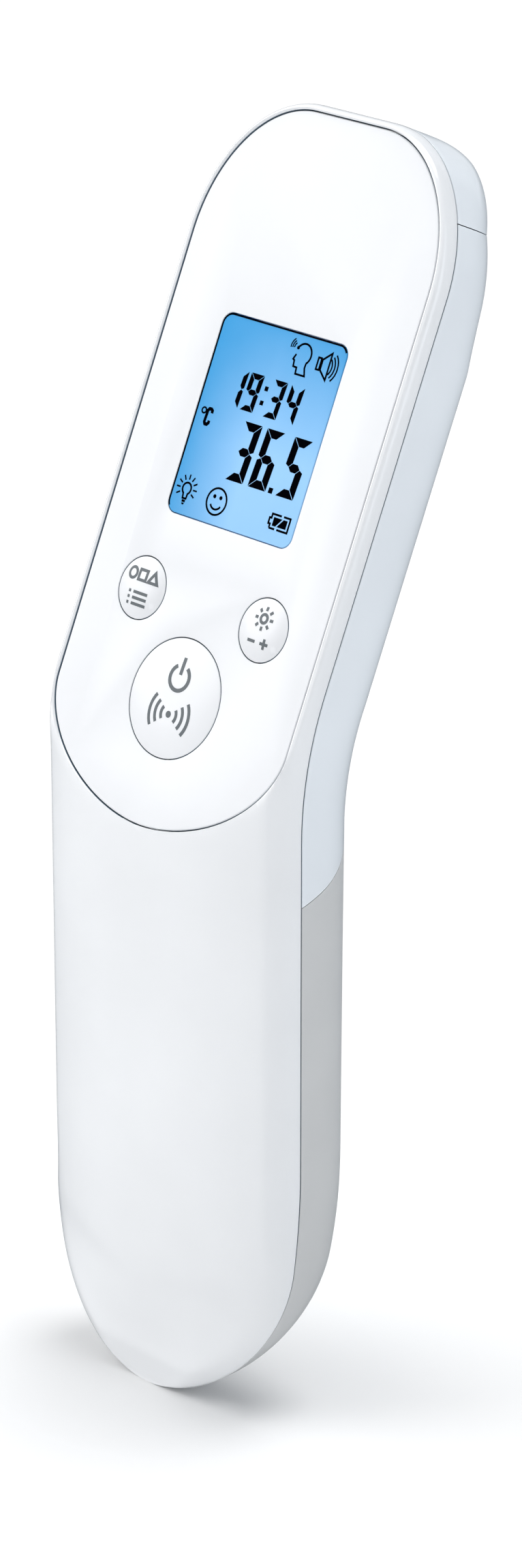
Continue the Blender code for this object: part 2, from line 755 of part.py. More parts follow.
def make_batteries(looks):
    half = CELL_LENGTH / 2.0
    left_middle = TOP_PLATE - GAP - half
    right_middle = LOW_PLATE + PLATE_THICK + GAP + half
    mesh_object("battery_left", cell(True), looks["cell"], None, (-CELL_X, CELL_Y, left_middle))
    mesh_object("battery_right", cell(False), looks["cell"], None, (CELL_X, CELL_Y, right_middle))
    above_bridge = LOW_PLATE + PLATE_THICK + GAP
    below_plate = TOP_PLATE - GAP
    low_coil = coil(-CELL_X, above_bridge, left_middle - half - GAP, "low")
    mesh_object("spring_left", low_coil, looks["steel"])
    high_coil = coil(CELL_X, right_middle + half + GAP, below_plate, "high")
    mesh_object("spring_right", high_coil, looks["steel"])
    mesh_object("positive_plate", contact_plate(-CELL_X, TOP_PLATE), looks["steel"])
    mesh_object("negative_plate", contact_plate(CELL_X, TOP_PLATE), looks["steel"])
    bridge = block((-10.5, -0.2, LOW_PLATE), (10.5, 7.0, LOW_PLATE + PLATE_THICK))
    mesh_object("bridge_plate", bridge, looks["steel"])


def face_point(x, v, n):
    return Vector((x, FACE_Y + v * math.sin(TILT) - n * math.cos(TILT),
                   FACE_Z + v * math.cos(TILT) + n * math.sin(TILT)))


def lead(x):
    """A battery lead from a contact's tail to its pad on the front of the board."""
    start = Vector((x, BAY_FLOOR - 0.9 - 0.35, TOP_PLATE + PLATE_THICK / 2.0))
    end = face_point(x, PCB_LOW + 1.5, PCB_FRONT + 0.4)
    controls = (start, start + Vector((0.0, -3.0, 6.0)), face_point(x, PCB_LOW + 1.5, PCB_FRONT + 6.4),
                end)
    points = []
    steps = 12
    for i in range(steps + 1):
        t = i / steps
        weights = ((1 - t) ** 3, 3 * t * (1 - t) ** 2, 3 * t * t * (1 - t), t ** 3)
        points.append(sum((c * w for c, w in zip(controls, weights)), Vector()))
    return tube(points, 0.45, 8)


# ---------------------------------------------------------------- screws

def screw(material, name, parent, where, length, turn=None):
    """A pan-head screw with its shank along +Z, or turned to run forward from the back."""
    profile = [(0.6 * HEAD_RADIUS, -HEAD_HEIGHT), (HEAD_RADIUS, -0.45 * HEAD_HEIGHT), (HEAD_RADIUS, 0.0),
               (SHANK_RADIUS, 0.0), (SHANK_RADIUS, length - 0.6), (0.3, length)]
    bm = turned(profile, 10)
    if turn is not None:
        turn_mesh(bm, turn)
    mesh_object(name, bm, material, parent, where)


def make_screws(face, material):
    for i, (x, v) in enumerate(PCB_SCREWS):
        screw(material, "pcb_screw_%d" % (i + 1), face, (x, v, PCB_BACK - GAP), SHANK_LENGTH)
    forward = Matrix.Rotation(math.radians(90.0), 4, "X")
    for i, (x, z) in enumerate(CRADLE_SCREWS):
        seat = BAY_FLOOR + BAY_WALL + GAP
        screw(material, "cradle_screw_%d" % (i + 1), None, (x, seat, z), SHORT_SHANK, forward)
    for i, (x, z) in enumerate(REAR_SCREWS):
        seat = TONGUE_BACK + GAP
        screw(material, "rear_screw_%d" % (i + 1), None, (x, seat, z), SHANK_LENGTH, forward)


# ---------------------------------------------------------------- assembly

def make_looks():
    return {
        "white": plastic("gloss white", (0.84, 0.88, 0.92), 0.18),
        "panel": plastic("panel white", (0.88, 0.92, 0.95), 0.12),
        "button": plastic("button white", (0.88, 0.91, 0.94), 0.25),
        "shell": plastic("blue grey", (0.62, 0.68, 0.74), 0.25),
        "door": plastic("warm grey", (0.44, 0.45, 0.46), 0.45),
        "window": plastic("clear window", (0.85, 0.93, 1.0), 0.05, transmission=0.9),
        "lcd": plastic("display blue", (0.20, 0.48, 0.85), 0.2),
        "frame": plastic("frame white", (0.80, 0.80, 0.80), 0.5),
        "guide": plastic("light guide", (0.85, 0.88, 0.90), 0.2),
        "rubber": plastic("dark rubber", (0.05, 0.05, 0.05), 0.8),
        "led": plastic("led white", (0.90, 0.90, 0.85), 0.3),
        "board": plastic("board green", (0.02, 0.22, 0.08), 0.4),
        "chip": plastic("chip black", (0.03, 0.03, 0.03), 0.5),
        "steel": plastic("plated steel", (0.62, 0.62, 0.60), 0.3, metallic=1.0),
        "brass": plastic("brass", (0.75, 0.55, 0.22), 0.3, metallic=1.0),
        "lens": plastic("sensor window", (0.05, 0.04, 0.06), 0.1),
        "cradle": plastic("cradle grey", (0.30, 0.31, 0.32), 0.5),
        "cell": plastic("cell green", (0.08, 0.30, 0.14), 0.35),
        "red": plastic("red lead", (0.55, 0.03, 0.03), 0.4),
        "black": plastic("black lead", (0.02, 0.02, 0.02), 0.4),
    }


def main():
    clear_scene()
    looks = make_looks()
    face = bpy.data.objects.new("face_frame", None)
    bpy.context.collection.objects.link(face)
    face.location = Vector((0.0, FACE_Y, FACE_Z)) * MM
    face.rotation_euler = (0.5 * math.pi - TILT, 0.0, 0.0)
    make_front_casing(face, looks["white"])
    make_rear_casing(looks["shell"])
    make_sensor_cover(face, looks["shell"])
    make_battery_door(looks["door"])
    make_face_panel(face, looks["panel"])
    make_display_window(face, looks["window"])
    for name, x, v, radius in button_places():
        make_button(face, name, x, v, radius, looks["button"])
        make_switch(face, name, x, v, looks["chip"], looks["frame"])
    make_display(face, looks)
    make_board(face, looks)
    make_sensor(face, looks)
    make_cradle(looks)
    make_batteries(looks)
    mesh_object("lead_positive", lead(-CELL_X), looks["red"])
    mesh_object("lead_negative", lead(CELL_X), looks["black"])
    make_screws(face, looks["steel"])


main()
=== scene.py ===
"""Looks of the hand-held infrared thermometer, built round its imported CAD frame.

Frame: X to the right, Y to the back, Z up along the grip. The head leans back by TILT, and what
lies on its face is placed in the face frame: x right, v up along the face, n out of it, with its
origin at the centre of the scan button. Lengths are in millimetres, and meshes are in metres.
"""

import math

import bmesh
import bpy
from mathutils import Matrix, Vector


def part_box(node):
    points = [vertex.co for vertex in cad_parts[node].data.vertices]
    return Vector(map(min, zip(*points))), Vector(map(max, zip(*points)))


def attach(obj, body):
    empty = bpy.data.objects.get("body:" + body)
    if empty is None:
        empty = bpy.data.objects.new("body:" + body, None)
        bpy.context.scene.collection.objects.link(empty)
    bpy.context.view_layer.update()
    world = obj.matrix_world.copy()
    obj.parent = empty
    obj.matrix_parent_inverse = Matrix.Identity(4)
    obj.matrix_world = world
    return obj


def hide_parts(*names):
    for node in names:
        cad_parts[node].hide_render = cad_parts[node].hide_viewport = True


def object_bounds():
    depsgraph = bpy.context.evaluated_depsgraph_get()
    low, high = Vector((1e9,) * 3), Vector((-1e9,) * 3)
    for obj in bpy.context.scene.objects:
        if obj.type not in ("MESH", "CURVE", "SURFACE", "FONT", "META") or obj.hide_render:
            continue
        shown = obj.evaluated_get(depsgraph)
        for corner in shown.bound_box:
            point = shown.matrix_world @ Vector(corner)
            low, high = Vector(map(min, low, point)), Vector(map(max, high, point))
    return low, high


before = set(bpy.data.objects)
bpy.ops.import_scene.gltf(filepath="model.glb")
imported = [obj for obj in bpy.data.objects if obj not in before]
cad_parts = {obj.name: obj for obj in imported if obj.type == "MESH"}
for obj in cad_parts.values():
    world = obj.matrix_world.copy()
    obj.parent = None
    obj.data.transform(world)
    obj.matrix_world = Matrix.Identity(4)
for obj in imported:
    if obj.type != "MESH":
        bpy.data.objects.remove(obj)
cad_low, cad_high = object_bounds()

MM = 0.001
GAP = 0.3

# Body outline, as in the CAD model
TILT = math.radians(24.0)
HALF_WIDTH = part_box("front_casing")[1].x / MM
FACE_Y = -0.95
FACE_Z = 58.0
PARTING_DEPTH = 2.6
BEND_RADIUS = 52.0
GRIP_FRONT = 8.6
FRONT_POWER = 2.25
GRIP_BACK = 14.6
GRIP_TAPER = 0.01
HEAD_BACK = 15.3
CORNER_RADIUS = 10.8
CORNER_SHARE = 0.75
CORNER_LEAST = 0.4
CORNER_MOST = 0.9
INNER_LEAST = 0.5
WALL = 2.0
SLIT = 0.05
TIP = -48.4
TIP_CUT = 0.03
SIDE_START = -24.0
SIDE_POWER = 1.89
TOE_START = -8.9
TOE_SHIFT = 7.74
TOE_POWER = 1.86
NOSE_START = -37.6
NOSE_POWER = 1.83
HEEL_START = -15.6
HEEL_POWER = 1.7
SHOULDER = 64.4
SHOULDER_RISE = 21.9
SHOULDER_RUN = 18.05
CROWN_START = 56.0
CROWN_DEPTH = 3.2
CROWN_POWER = 0.8
CROWN_FILLET = 2.5
CAP_SEAM = 75.0
CAP_SQUARING = 5.0
TOP = SHOULDER + SHOULDER_RISE
SEAM_SIDE = 33.0
SEAM_SLOPE = 0.25
SEAM_CURVE = 0.0225
SENSOR_N = -7.2
APERTURE_RADIUS = 3.3
APERTURE_EDGE = 0.3
APERTURE_STEPS = 64
COVER_OVERCUT = 1.0

# Face panel, display and buttons
RIM_HEIGHT = 0.3
PANEL_HALF = 23.6
PANEL_THICK = 1.0
PANEL_TOP_RUN = 16.7
PANEL_TOP_RISE = 20.6
PANEL_TOE = 2.35
PANEL_TOE_RISE = 16.3
PANEL_TOE_POWER = 1.85
PLATE_BACK = -PARTING_DEPTH + GAP / 2
PLATE_FRONT = -PANEL_THICK - GAP
PANEL_HOLE_EDGE = 0.12
WINDOW_HALF = 12.5
WINDOW_LOW = 25.0
WINDOW_HIGH = 54.5
WINDOW_RADIUS = 1.7
SCREEN_EDGE = 0.1
BUTTON_DOME = 0.55
DOME_POWER = 2.7
FLANGE_EXTRA = 1.1
FLANGE_TOP = -2.8
FLANGE_BOTTOM = -3.6
POST_BOTTOM = -3.9
POST_TIP_RADIUS = 1.6

# Shoulder of the front shell: two soft creases, each at an inset from the outline and a height
# ahead of the parting plane, how the crown rises between them, and how the heights shrink as the
# shell grows thin toward the tip
WALL_INSET = 0.9
WALL_HEIGHT = 2.8
BAND_INSET = 2.3
BAND_HEIGHT = 4.65
CROWN_CURVE = 2.5
CROWN_LEAST = 0.4
CREASE_BLEND = 0.35
BAND_FADE = 2.2
BAND_LEAST = 0.45
BAND_TURN = 8.0

# Faces that line the narrow gaps between pieces have a dark material of their own: painted shade,
# which stands in for the shade deep in the gaps. LINE is the width of those gaps. On the face,
# they are steeper than GAP_STEEPNESS and lie below GAP_LIP
GAP_SHADE_SLOT = 1
LINE = 0.14
GAP_STEEPNESS = 0.5
GAP_LIP = 0.1

# Thumb ridges on the back of the battery door, across the grip
RIDGE_COUNT = 5
RIDGE_LOW = 6.0
RIDGE_PITCH = 3.0
RIDGE_HALF = 8.0
RIDGE_WIDE = 0.7
RIDGE_RISE = 0.55
RIDGE_STEPS = 28
RIDGE_ROUND = 8
RIDGE_ENDS = 6.0

# Rounded edges
BEAD = 1.15
BEAD_POWER = 2.7
BEAD_BLEND = 0.5
EDGE = 0.15
PANEL_EDGE = 0.28
RECESS_EDGE = 0.5

# Mesh steps, and how far cutters reach
ROW = 1.0
COLUMNS = 44
COLUMN_POWER = 2.2
TIP_ROWS = 44
CROWN_ROWS = 44
BEND_ROWS = 18
DOOR_BEND_ROWS = 8
REAR_LOW = 30.0
CORNER_STEPS = 14
EDGE_STEPS = 4
BACK_STEPS = 5
HOLLOW_STEPS = 16
ROUND_STEPS = 72
DOME_STEPS = 15
THROUGH = 6.0
REACH = 60.0

FACE = (Matrix.Translation((0.0, FACE_Y * MM, FACE_Z * MM))
        @ Matrix.Rotation(0.5 * math.pi - TILT, 4, "X"))


# ---------------------------------------------------------------- meshes

def mesh_object(name, bm, on_face=False):
    """Turns a bmesh in millimetres into an object in metres, on the face if asked."""
    bmesh.ops.scale(bm, vec=(MM, MM, MM), verts=bm.verts)
    bmesh.ops.recalc_face_normals(bm, faces=bm.faces)
    mesh = bpy.data.meshes.new(name)
    bm.to_mesh(mesh)
    bm.free()
    thing = bpy.data.objects.new(name, mesh)
    bpy.context.scene.collection.objects.link(thing)
    if on_face:
        thing.matrix_world = FACE
    return thing


def pairs_of(items, closed):
    """Each item with the next one, and the last with the first if the items close a loop."""
    return zip(items, items[1:] + items[:1] if closed else items[1:])


def skin(bm, rings, closed=False, lips=()):
    """Joins rings that have equal numbers of points, and caps both ends unless the rings close a
    loop. lips are the columns of faces that line a gap between two pieces, and get the painted
    gap shade."""
    loops = [[bm.verts.new(point) for point in ring] for ring in rings]
    size = len(loops[0])
    for lower, upper in pairs_of(loops, closed):
        for i in range(size):
            j = (i + 1) % size
            face = bm.faces.new((lower[i], lower[j], upper[j], upper[i]))
            face.material_index = GAP_SHADE_SLOT if i in lips else 0
    if not closed:
        bm.faces.new(loops[0])
        bm.faces.new(loops[-1])


def loft(rings, lips=()):
    """A closed solid through rings, as a mesh of its own."""
    bm = bmesh.new()
    skin(bm, rings, lips=lips)
    return bm


def circle(radius, steps, centre=(0.0, 0.0)):
    angles = [2.0 * math.pi * i / steps for i in range(steps)]
    return [(centre[0] + radius * math.cos(a), centre[1] + radius * math.sin(a)) for a in angles]


def rounded_rectangle(left, low, right, high, radius, steps=8):
    corners = [
        (right - radius, high - radius, 0.0),
        (left + radius, high - radius, 0.5 * math.pi),
        (left + radius, low + radius, math.pi),
        (right - radius, low + radius, 1.5 * math.pi),
    ]
    points = []
    for x, y, start in corners:
        for i in range(steps + 1):
            a = start + 0.5 * math.pi * i / steps
            points.append((x + radius * math.cos(a), y + radius * math.sin(a)))
    return points


def half_superellipse(power, steps):
    """The upper half of a superellipse with half-axes of 1, from +x to -x."""
    points = []
    for i in range(steps + 1):
        a = math.pi * i / steps
        across = math.copysign(abs(math.cos(a)) ** (2.0 / power), math.cos(a))
        points.append((across, math.sin(a) ** (2.0 / power)))
    return points


def rounded_edge(radius):
    """An edge's round from its side to its top: how far in, and how far up from the top, each
    point lies."""
    turns = [0.5 * math.pi * i / EDGE_STEPS for i in range(EDGE_STEPS + 1)]
    return [(radius * (1.0 - math.cos(a)), radius * (math.sin(a) - 1.0)) for a in turns]


def join_meshes(parts):
    whole = bmesh.new()
    for part in parts:
        copy = bpy.data.meshes.new("part")
        part.to_mesh(copy)
        part.free()
        whole.from_mesh(copy)
        bpy.data.meshes.remove(copy)
    return whole


def carve(thing, bm, on_face=False):
    """Cuts a mesh out of an object, and keeps the resulting mesh."""
    cutter = mesh_object("cutter", bm, on_face)
    modifier = thing.modifiers.new("carve", "BOOLEAN")
    modifier.operation = "DIFFERENCE"
    modifier.solver = "EXACT"
    modifier.object = cutter
    bpy.context.view_layer.update()
    depsgraph = bpy.context.evaluated_depsgraph_get()
    result = bpy.data.meshes.new_from_object(thing.evaluated_get(depsgraph))
    thing.modifiers.clear()
    thing.data = result
    bpy.data.objects.remove(cutter)


def paint_gap_shade(thing, inside):
    """Marks for the painted gap shade the steep faces that inside(centre, normal), in face
    millimetres, says line a gap.
    """
    to_face = FACE.inverted() @ thing.matrix_world
    turn = to_face.to_3x3()
    for polygon in thing.data.polygons:
        centre = (to_face @ polygon.center) / MM
        normal = turn @ polygon.normal
        if abs(normal.z) < GAP_STEEPNESS and inside(centre, normal):
            polygon.material_index = GAP_SHADE_SLOT


def settle(thing, look, body, node=None, sharp=38.0):
    """Smooths a finished piece, gives it its material and the painted gap shade on faces marked as
    lining a gap, and puts it on its CAD body.
    """
    thing.data.shade_smooth()
    thing.data.set_sharp_from_angle(angle=math.radians(sharp))
    marks = [polygon.material_index for polygon in thing.data.polygons]
    thing.data.materials.clear()
    thing.data.materials.append(LOOKS[look])
    if any(marks):
        thing.data.materials.append(LOOKS["gap"])
        thing.data.polygons.foreach_set("material_index", marks)
    if node is not None:
        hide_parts(node)
    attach(thing, body)
    return thing


# ---------------------------------------------------------------- body surfaces

def spine_point(v):
    """The parting line on the head, at height v along the face: its y and z."""
    y = FACE_Y + v * math.sin(TILT) + PARTING_DEPTH * math.cos(TILT)
    z = FACE_Z + v * math.cos(TILT) - PARTING_DEPTH * math.sin(TILT)
    return y, z


BEND_V = -(FACE_Y + PARTING_DEPTH * math.cos(TILT)) / math.sin(TILT)
BEND_RUN = BEND_RADIUS * math.tan(TILT / 2.0)
BEND_START = spine_point(BEND_V)[1] - BEND_RUN
BEND_END_V = BEND_V + BEND_RUN


def section(y, z, lean, width, back, corner):
    """A cut across the body. It stands on the parting line at y and z, and leans back by lean.
    squeeze is less than 1 where the outline runs in at a slant."""
    front = (BEND_RADIUS + GRIP_FRONT) / math.cos(lean) - BEND_RADIUS
    return {"y": y, "z": z, "lean": lean, "width": width, "front": front, "back": back,
            "corner": corner, "v": 0.0, "squeeze": 1.0}


def rounding(distance, length, power):
    """How much of a size is left at a distance into a rounded end of that length."""
    if distance <= 0.0:
        return 1.0
    return (1.0 - min(1.0, distance / length) ** power) ** (1.0 / power)


def grip_section(z):
    shift = TOE_SHIFT * (max(0.0, TOE_START - z) / (TOE_START - TIP)) ** TOE_POWER
    width = HALF_WIDTH * rounding(SIDE_START - z, SIDE_START - TIP, SIDE_POWER)
    back = GRIP_BACK - GRIP_TAPER * (BEND_START - z)
    back *= rounding(HEEL_START - z, HEEL_START - TIP, HEEL_POWER)
    corner = min(CORNER_RADIUS, CORNER_SHARE * back, CORNER_SHARE * width)
    part = section(-shift, z, 0.0, width, back, corner)
    part["front"] = (GRIP_FRONT - shift) * rounding(NOSE_START - z, NOSE_START - TIP, NOSE_POWER)
    lower = HALF_WIDTH * rounding(SIDE_START - z + SLIT, SIDE_START - TIP, SIDE_POWER)
    part["squeeze"] = SLIT / math.hypot(SLIT, width - lower)
    return part


def bend_section(lean):
    y = BEND_RADIUS * (1.0 - math.cos(lean))
    z = BEND_START + BEND_RADIUS * math.sin(lean)
    back = GRIP_BACK + (HEAD_BACK - GRIP_BACK) * lean / TILT
    return section(y, z, lean, HALF_WIDTH, back, CORNER_RADIUS)


def head_section(v):
    y, z = spine_point(v)
    width = HALF_WIDTH
    back = HEAD_BACK
    if v > SHOULDER:
        rise = min(1.0, (v - SHOULDER) / SHOULDER_RISE)
        width -= SHOULDER_RUN * (1.0 - math.sqrt(1.0 - rise * rise))
    if v > CROWN_START:
        back -= CROWN_DEPTH * ((v - CROWN_START) / (TOP - CROWN_START)) ** CROWN_POWER
        into_fillet = v - (TOP - CROWN_FILLET)
        back -= CROWN_FILLET * (1.0 - rounding(into_fillet, CROWN_FILLET, 2.0))
    into_cap = max(0.0, v - CAP_SEAM) / (TOP - CAP_SEAM)
    part = section(y, z, TILT, width, back, CORNER_RADIUS - CAP_SQUARING * into_cap)
    part["v"] = v
    return part


def spread(low, high, step):
    """Evenly spaced values, both ends included."""
    count = max(1, math.ceil((high - low) / step))
    return [low + (high - low) * i / count for i in range(count + 1)]


def grip_run(low, high):
    heights = []
    if low < TOE_START:
        end = math.asin((TOE_START - low) / (TOE_START - TIP))
        heights = [TOE_START - (TOE_START - TIP) * math.sin(end * i / TIP_ROWS)
                   for i in range(TIP_ROWS, 0, -1)]
        low = TOE_START
    return [grip_section(z) for z in heights + spread(low, high, ROW)]


def bend_run():
    return [bend_section(TILT * i / BEND_ROWS) for i in range(1, BEND_ROWS)]


def head_run(low, high):
    heights = []
    if low < SHOULDER:
        heights = spread(low, min(SHOULDER, high), ROW)[:-1]
        low = SHOULDER
    start = math.asin((low - SHOULDER) / SHOULDER_RISE)
    end = math.asin(min(1.0, (high - SHOULDER) / SHOULDER_RISE))
    count = max(2, round(CROWN_ROWS * (end - start) / (0.5 * math.pi)))
    turns = [start + (end - start) * i / count for i in range(count + 1)]
    heights += [SHOULDER + SHOULDER_RISE * math.sin(a) for a in turns]
    return [head_section(v) for v in heights]


def edge_distance(part, x):
    """How far a point of the front lies inside the body's outline."""
    rise = (part["v"] - SHOULDER) / SHOULDER_RISE
    flat_half = HALF_WIDTH - SHOULDER_RUN
    if rise <= 0.0:
        return max(0.0, part["width"] - abs(x))
    across = max(0.0, abs(x) - flat_half) / SHOULDER_RUN
    reach = math.hypot(across, rise)
    slope = math.hypot(across / SHOULDER_RUN, rise / SHOULDER_RISE) / reach
    return max(0.0, (1.0 - reach) / slope)


def plane_distance(part, height):
    """How far ahead of the parting line the face's plane at that height lies."""
    depth = (part["z"] - FACE_Z) * math.sin(TILT) - (part["y"] - FACE_Y) * math.cos(TILT)
    return (height - depth) / math.cos(TILT - part["lean"])


def smooth_min(a, b, blend):
    """The smaller of two heights, with a soft change from one to the other."""
    blend = min(blend, 0.5 * min(a, b))
    if blend <= 0.0:
        return min(a, b)
    near = max(0.0, 1.0 - abs(a - b) / blend)
    return min(a, b) - 0.25 * blend * near * near


def way_out(part, x):
    """How far out a point of the front lies, from 0 on the middle line to 1 on the body's outline,
    and how much of that a millimetre covers."""
    down = max(0.0, SIDE_START - part["z"]) / (SIDE_START - TIP)
    if down == 0.0:
        return abs(x) / part["width"], 1.0 / (part["width"] * part["squeeze"])
    across = abs(x) / HALF_WIDTH
    reach = (across ** SIDE_POWER + down ** SIDE_POWER) ** (1.0 / SIDE_POWER)
    slope = math.hypot(across ** (SIDE_POWER - 1.0) / HALF_WIDTH,
                       down ** (SIDE_POWER - 1.0) / (SIDE_START - TIP))
    return reach, slope * reach ** (1.0 - SIDE_POWER)


def crown_height(part, x):
    """The front shell's own shape: a low crown, a band along each side, and a curved wall. The
    band and the wall shrink toward the tip, where the shell grows thin."""
    reach, slope = way_out(part, x)
    inset = max(0.0, 1.0 - reach) / slope
    inner = max(CROWN_LEAST, 1.0 - BAND_INSET * slope)
    fade = (part["front"] / GRIP_FRONT) ** BAND_FADE
    scale = (fade ** BAND_TURN + BAND_LEAST ** BAND_TURN) ** (1.0 / BAND_TURN)
    fall = max(0.0, 1.0 - scale * BAND_HEIGHT / part["front"])
    crown = part["front"] * max(0.0, 1.0 - fall * (reach / inner) ** CROWN_CURVE)
    rise = (BAND_HEIGHT - WALL_HEIGHT) / (BAND_INSET - WALL_INSET)
    band = scale * (WALL_HEIGHT + rise * (inset - WALL_INSET))
    wall = scale * WALL_HEIGHT * math.sqrt(inset / WALL_INSET)
    return smooth_min(smooth_min(band, wall, CREASE_BLEND), crown, CREASE_BLEND)


def front_height(part, x):
    """How far ahead of the parting plane the front surface lies: the crown, cut by the rim."""
    ceiling = plane_distance(part, RIM_HEIGHT)
    share = min(1.0, edge_distance(part, x) / BEAD)
    rim = ceiling * (1.0 - (1.0 - share) ** BEAD_POWER) ** (1.0 / BEAD_POWER)
    return smooth_min(crown_height(part, x), rim, BEAD_BLEND)


def front_outline(part):
    """The front surface of a section, from +x to -x, with a small round at the parting line."""
    flat = LINE / 2
    width = part["width"]
    points = []
    for i in range(COLUMNS + 1):
        x = width * (1.0 - (i / COLUMNS) ** COLUMN_POWER)
        lift = EDGE * min(1.0, i / 2.0)
        points.append((x, flat + max(2.0 * SLIT, front_height(part, x) - flat, lift)))
    points[0] = (width - EDGE, flat)
    return points + [(-x, ahead) for x, ahead in reversed(points[:-1])]


def hollow_outline(part):
    """The inner surface of the front shell, from +x to -x."""
    flat = LINE / 2
    width = max(INNER_LEAST * part["width"], part["width"] - WALL)
    front = max(flat + SLIT, part["front"] - WALL)
    ceiling = max(flat + SLIT, plane_distance(part, PLATE_BACK))
    return [(width * across, min(flat + (front - flat) * up, ceiling))
            for across, up in half_superellipse(FRONT_POWER, HOLLOW_STEPS)]


def back_ring(part, inset=0.0, steps=CORNER_STEPS, sides=4, edge=EDGE):
    """The section behind the parting plane, as x and distance behind, from +x to -x. Its number
    of points is the same for every section."""
    flat = LINE / 2
    width = max(INNER_LEAST * part["width"], part["width"] - inset)
    back = max(flat + SLIT + edge, part["back"] - inset)
    corner = min(max(CORNER_LEAST, part["corner"] - inset), CORNER_MOST * (back - flat))
    half = [(width, flat)]
    if edge > 0.0:
        half = [(width - edge + edge * math.sin(a), flat + edge - edge * math.cos(a))
                for a in (0.0, 0.25 * math.pi, 0.5 * math.pi)]
    start = flat + edge
    wall_end = max(start, back - corner)
    for i in range(1, sides + 1):
        half.append((width, start + (wall_end - start) * i / (sides + 1)))
    for i in range(steps + 1):
        a = 0.5 * math.pi * i / steps
        half.append((width - corner + corner * math.cos(a), back - corner + corner * math.sin(a)))
    flat_half = width - corner
    for i in range(1, BACK_STEPS + 1):
        half.append((flat_half * (1.0 - i / BACK_STEPS), back))
    return half + [(-x, behind) for x, behind in reversed(half[:-1])]


def back_hollow(part):
    return back_ring(part, WALL, 6, 2, 0.0)


def section_point(part, x, ahead):
    y = part["y"] - ahead * math.cos(part["lean"])
    z = part["z"] + ahead * math.sin(part["lean"])
    return (x, y, z)


def shell(sections, outer_of, inner_of, ahead):
    """The shell on one side of the parting line: ahead is 1 in front of it and -1 behind it."""
    rings = []
    for part in sections:
        outer = outer_of(part)
        outline = outer + inner_of(part)[::-1]
        rings.append([section_point(part, x, ahead * away) for x, away in outline])
    # The faces across the parting edge line the seam, and get the painted gap shade
    return loft(rings, (len(outer) - 1, len(outline) - 1))


def seam_height(y):
    return SEAM_SIDE + SEAM_SLOPE * y + SEAM_CURVE * y * y


def seam_side(above, gap):
    """A cutter for the side of the door seam that a shell leaves out, gap away from the seam."""
    edge = [(y, seam_height(y) + gap) for y in spread(0.0, math.ceil(HEAD_BACK), 0.5)]
    edge = [(-REACH, edge[0][1])] + edge + [(REACH, edge[-1][1])]
    end = REACH if above else -2.0 * REACH
    outline = [(-REACH, end)] + edge + [(REACH, end)]
    return loft([[(x, y, z) for y, z in outline] for x in (-REACH, REACH)])


# ---------------------------------------------------------------- outlines on the face

def panel_outline(grow, steps=32):
    """The face panel's outline, counter-clockwise from its right side."""
    half = PANEL_HALF + grow
    run = PANEL_TOP_RUN + grow
    rise = PANEL_TOP_RISE + grow
    points = []
    for i in range(steps + 1):
        a = 0.5 * math.pi * i / steps
        points.append((half - run + run * math.cos(a), SHOULDER + rise * math.sin(a)))
    points += [(-x, v) for x, v in reversed(points)]
    toe = half_superellipse(PANEL_TOE_POWER, 2 * steps)
    return points + [(-half * x, -PANEL_TOE - (PANEL_TOE_RISE + grow) * down) for x, down in toe]


def window_outline(grow):
    return rounded_rectangle(-WINDOW_HALF - grow, WINDOW_LOW - grow, WINDOW_HALF + grow,
                             WINDOW_HIGH + grow, WINDOW_RADIUS + grow)


def face_place(node):
    """The centre of a CAD node on the face, and half its width."""
    low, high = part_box(node)
    middle = FACE.inverted() @ ((low + high) / 2.0)
    return middle.x / MM, middle.y / MM, 0.5 * (high.x - low.x) / MM


def slab(outline, low, edge):
    """A slab from low up to the face's plane, with a rounded edge round its top."""
    steps = [(0.0, low)] + rounded_edge(edge)
    return loft([[(x, v, height) for x, v in outline(-into)] for into, height in steps])


def flared(outline, low, surface, edge, high):
    """A cutter whose outline widens near a surface, so that it leaves a rounded edge there."""
    steps = [(0.0, low)] + [(grow, surface + height) for grow, height in rounded_edge(edge)]
    steps.append((edge + SLIT, high))
    return loft([[(x, v, height) for x, v in outline(grow)] for grow, height in steps])


# Each button's centre on the face and its radius. The scan button is at the face's origin
BUTTONS = {}
for button in ("mode", "light", "scan"):
    place_x, place_v, flange_radius = face_place(button + "_button")
    BUTTONS[button] = (place_x, place_v, flange_radius - FLANGE_EXTRA)
BUTTONS["scan"] = (0.0, 0.0, BUTTONS["scan"][2])


def openings(edge, surface):
    """Cutters for the window and the button holes."""
    outlines = [lambda grow: window_outline(LINE + grow)]
    for x, v, radius in BUTTONS.values():
        outlines.append(lambda grow, x=x, v=v, radius=radius:
                        circle(radius + LINE + grow, ROUND_STEPS, (x, v)))
    return join_meshes([flared(outline, -THROUGH, surface, edge, THROUGH) for outline in outlines])


# ---------------------------------------------------------------- materials

# Scale of the slow changes of colour and gloss, pointiness where rubbed edges begin and where they
# are full, how much paler these are, and the grain's depth in millimetres
BROAD_SCALE = 45.0
RUBBED_FROM = 0.52
RUBBED_FULL = 0.62
RUBBED_SHADE = 1.12
GRAIN_DEPTH = 0.02
COAT_ROUGHNESS = 0.05

# Where a cell's pale band begins and is full, as shares of its length down from its top
BAND_BEGINS = 0.30
BAND_FULL = 0.29

# Foot of the display's paler corner
GLOW_LOW = 36.0


def feed(tree, node, inputs):
    """Gives a node's inputs constants, or wires other nodes' outputs to them."""
    for key, value in inputs.items():
        if isinstance(value, bpy.types.NodeSocket):
            tree.links.new(value, node.inputs[key])
        else:
            node.inputs[key].default_value = value


def add_node(tree, kind, inputs, **settings):
    """Adds a shader node and returns its outputs."""
    node = tree.nodes.new("ShaderNode" + kind)
    for name, value in settings.items():
        setattr(node, name, value)
    feed(tree, node, inputs)
    return node.outputs


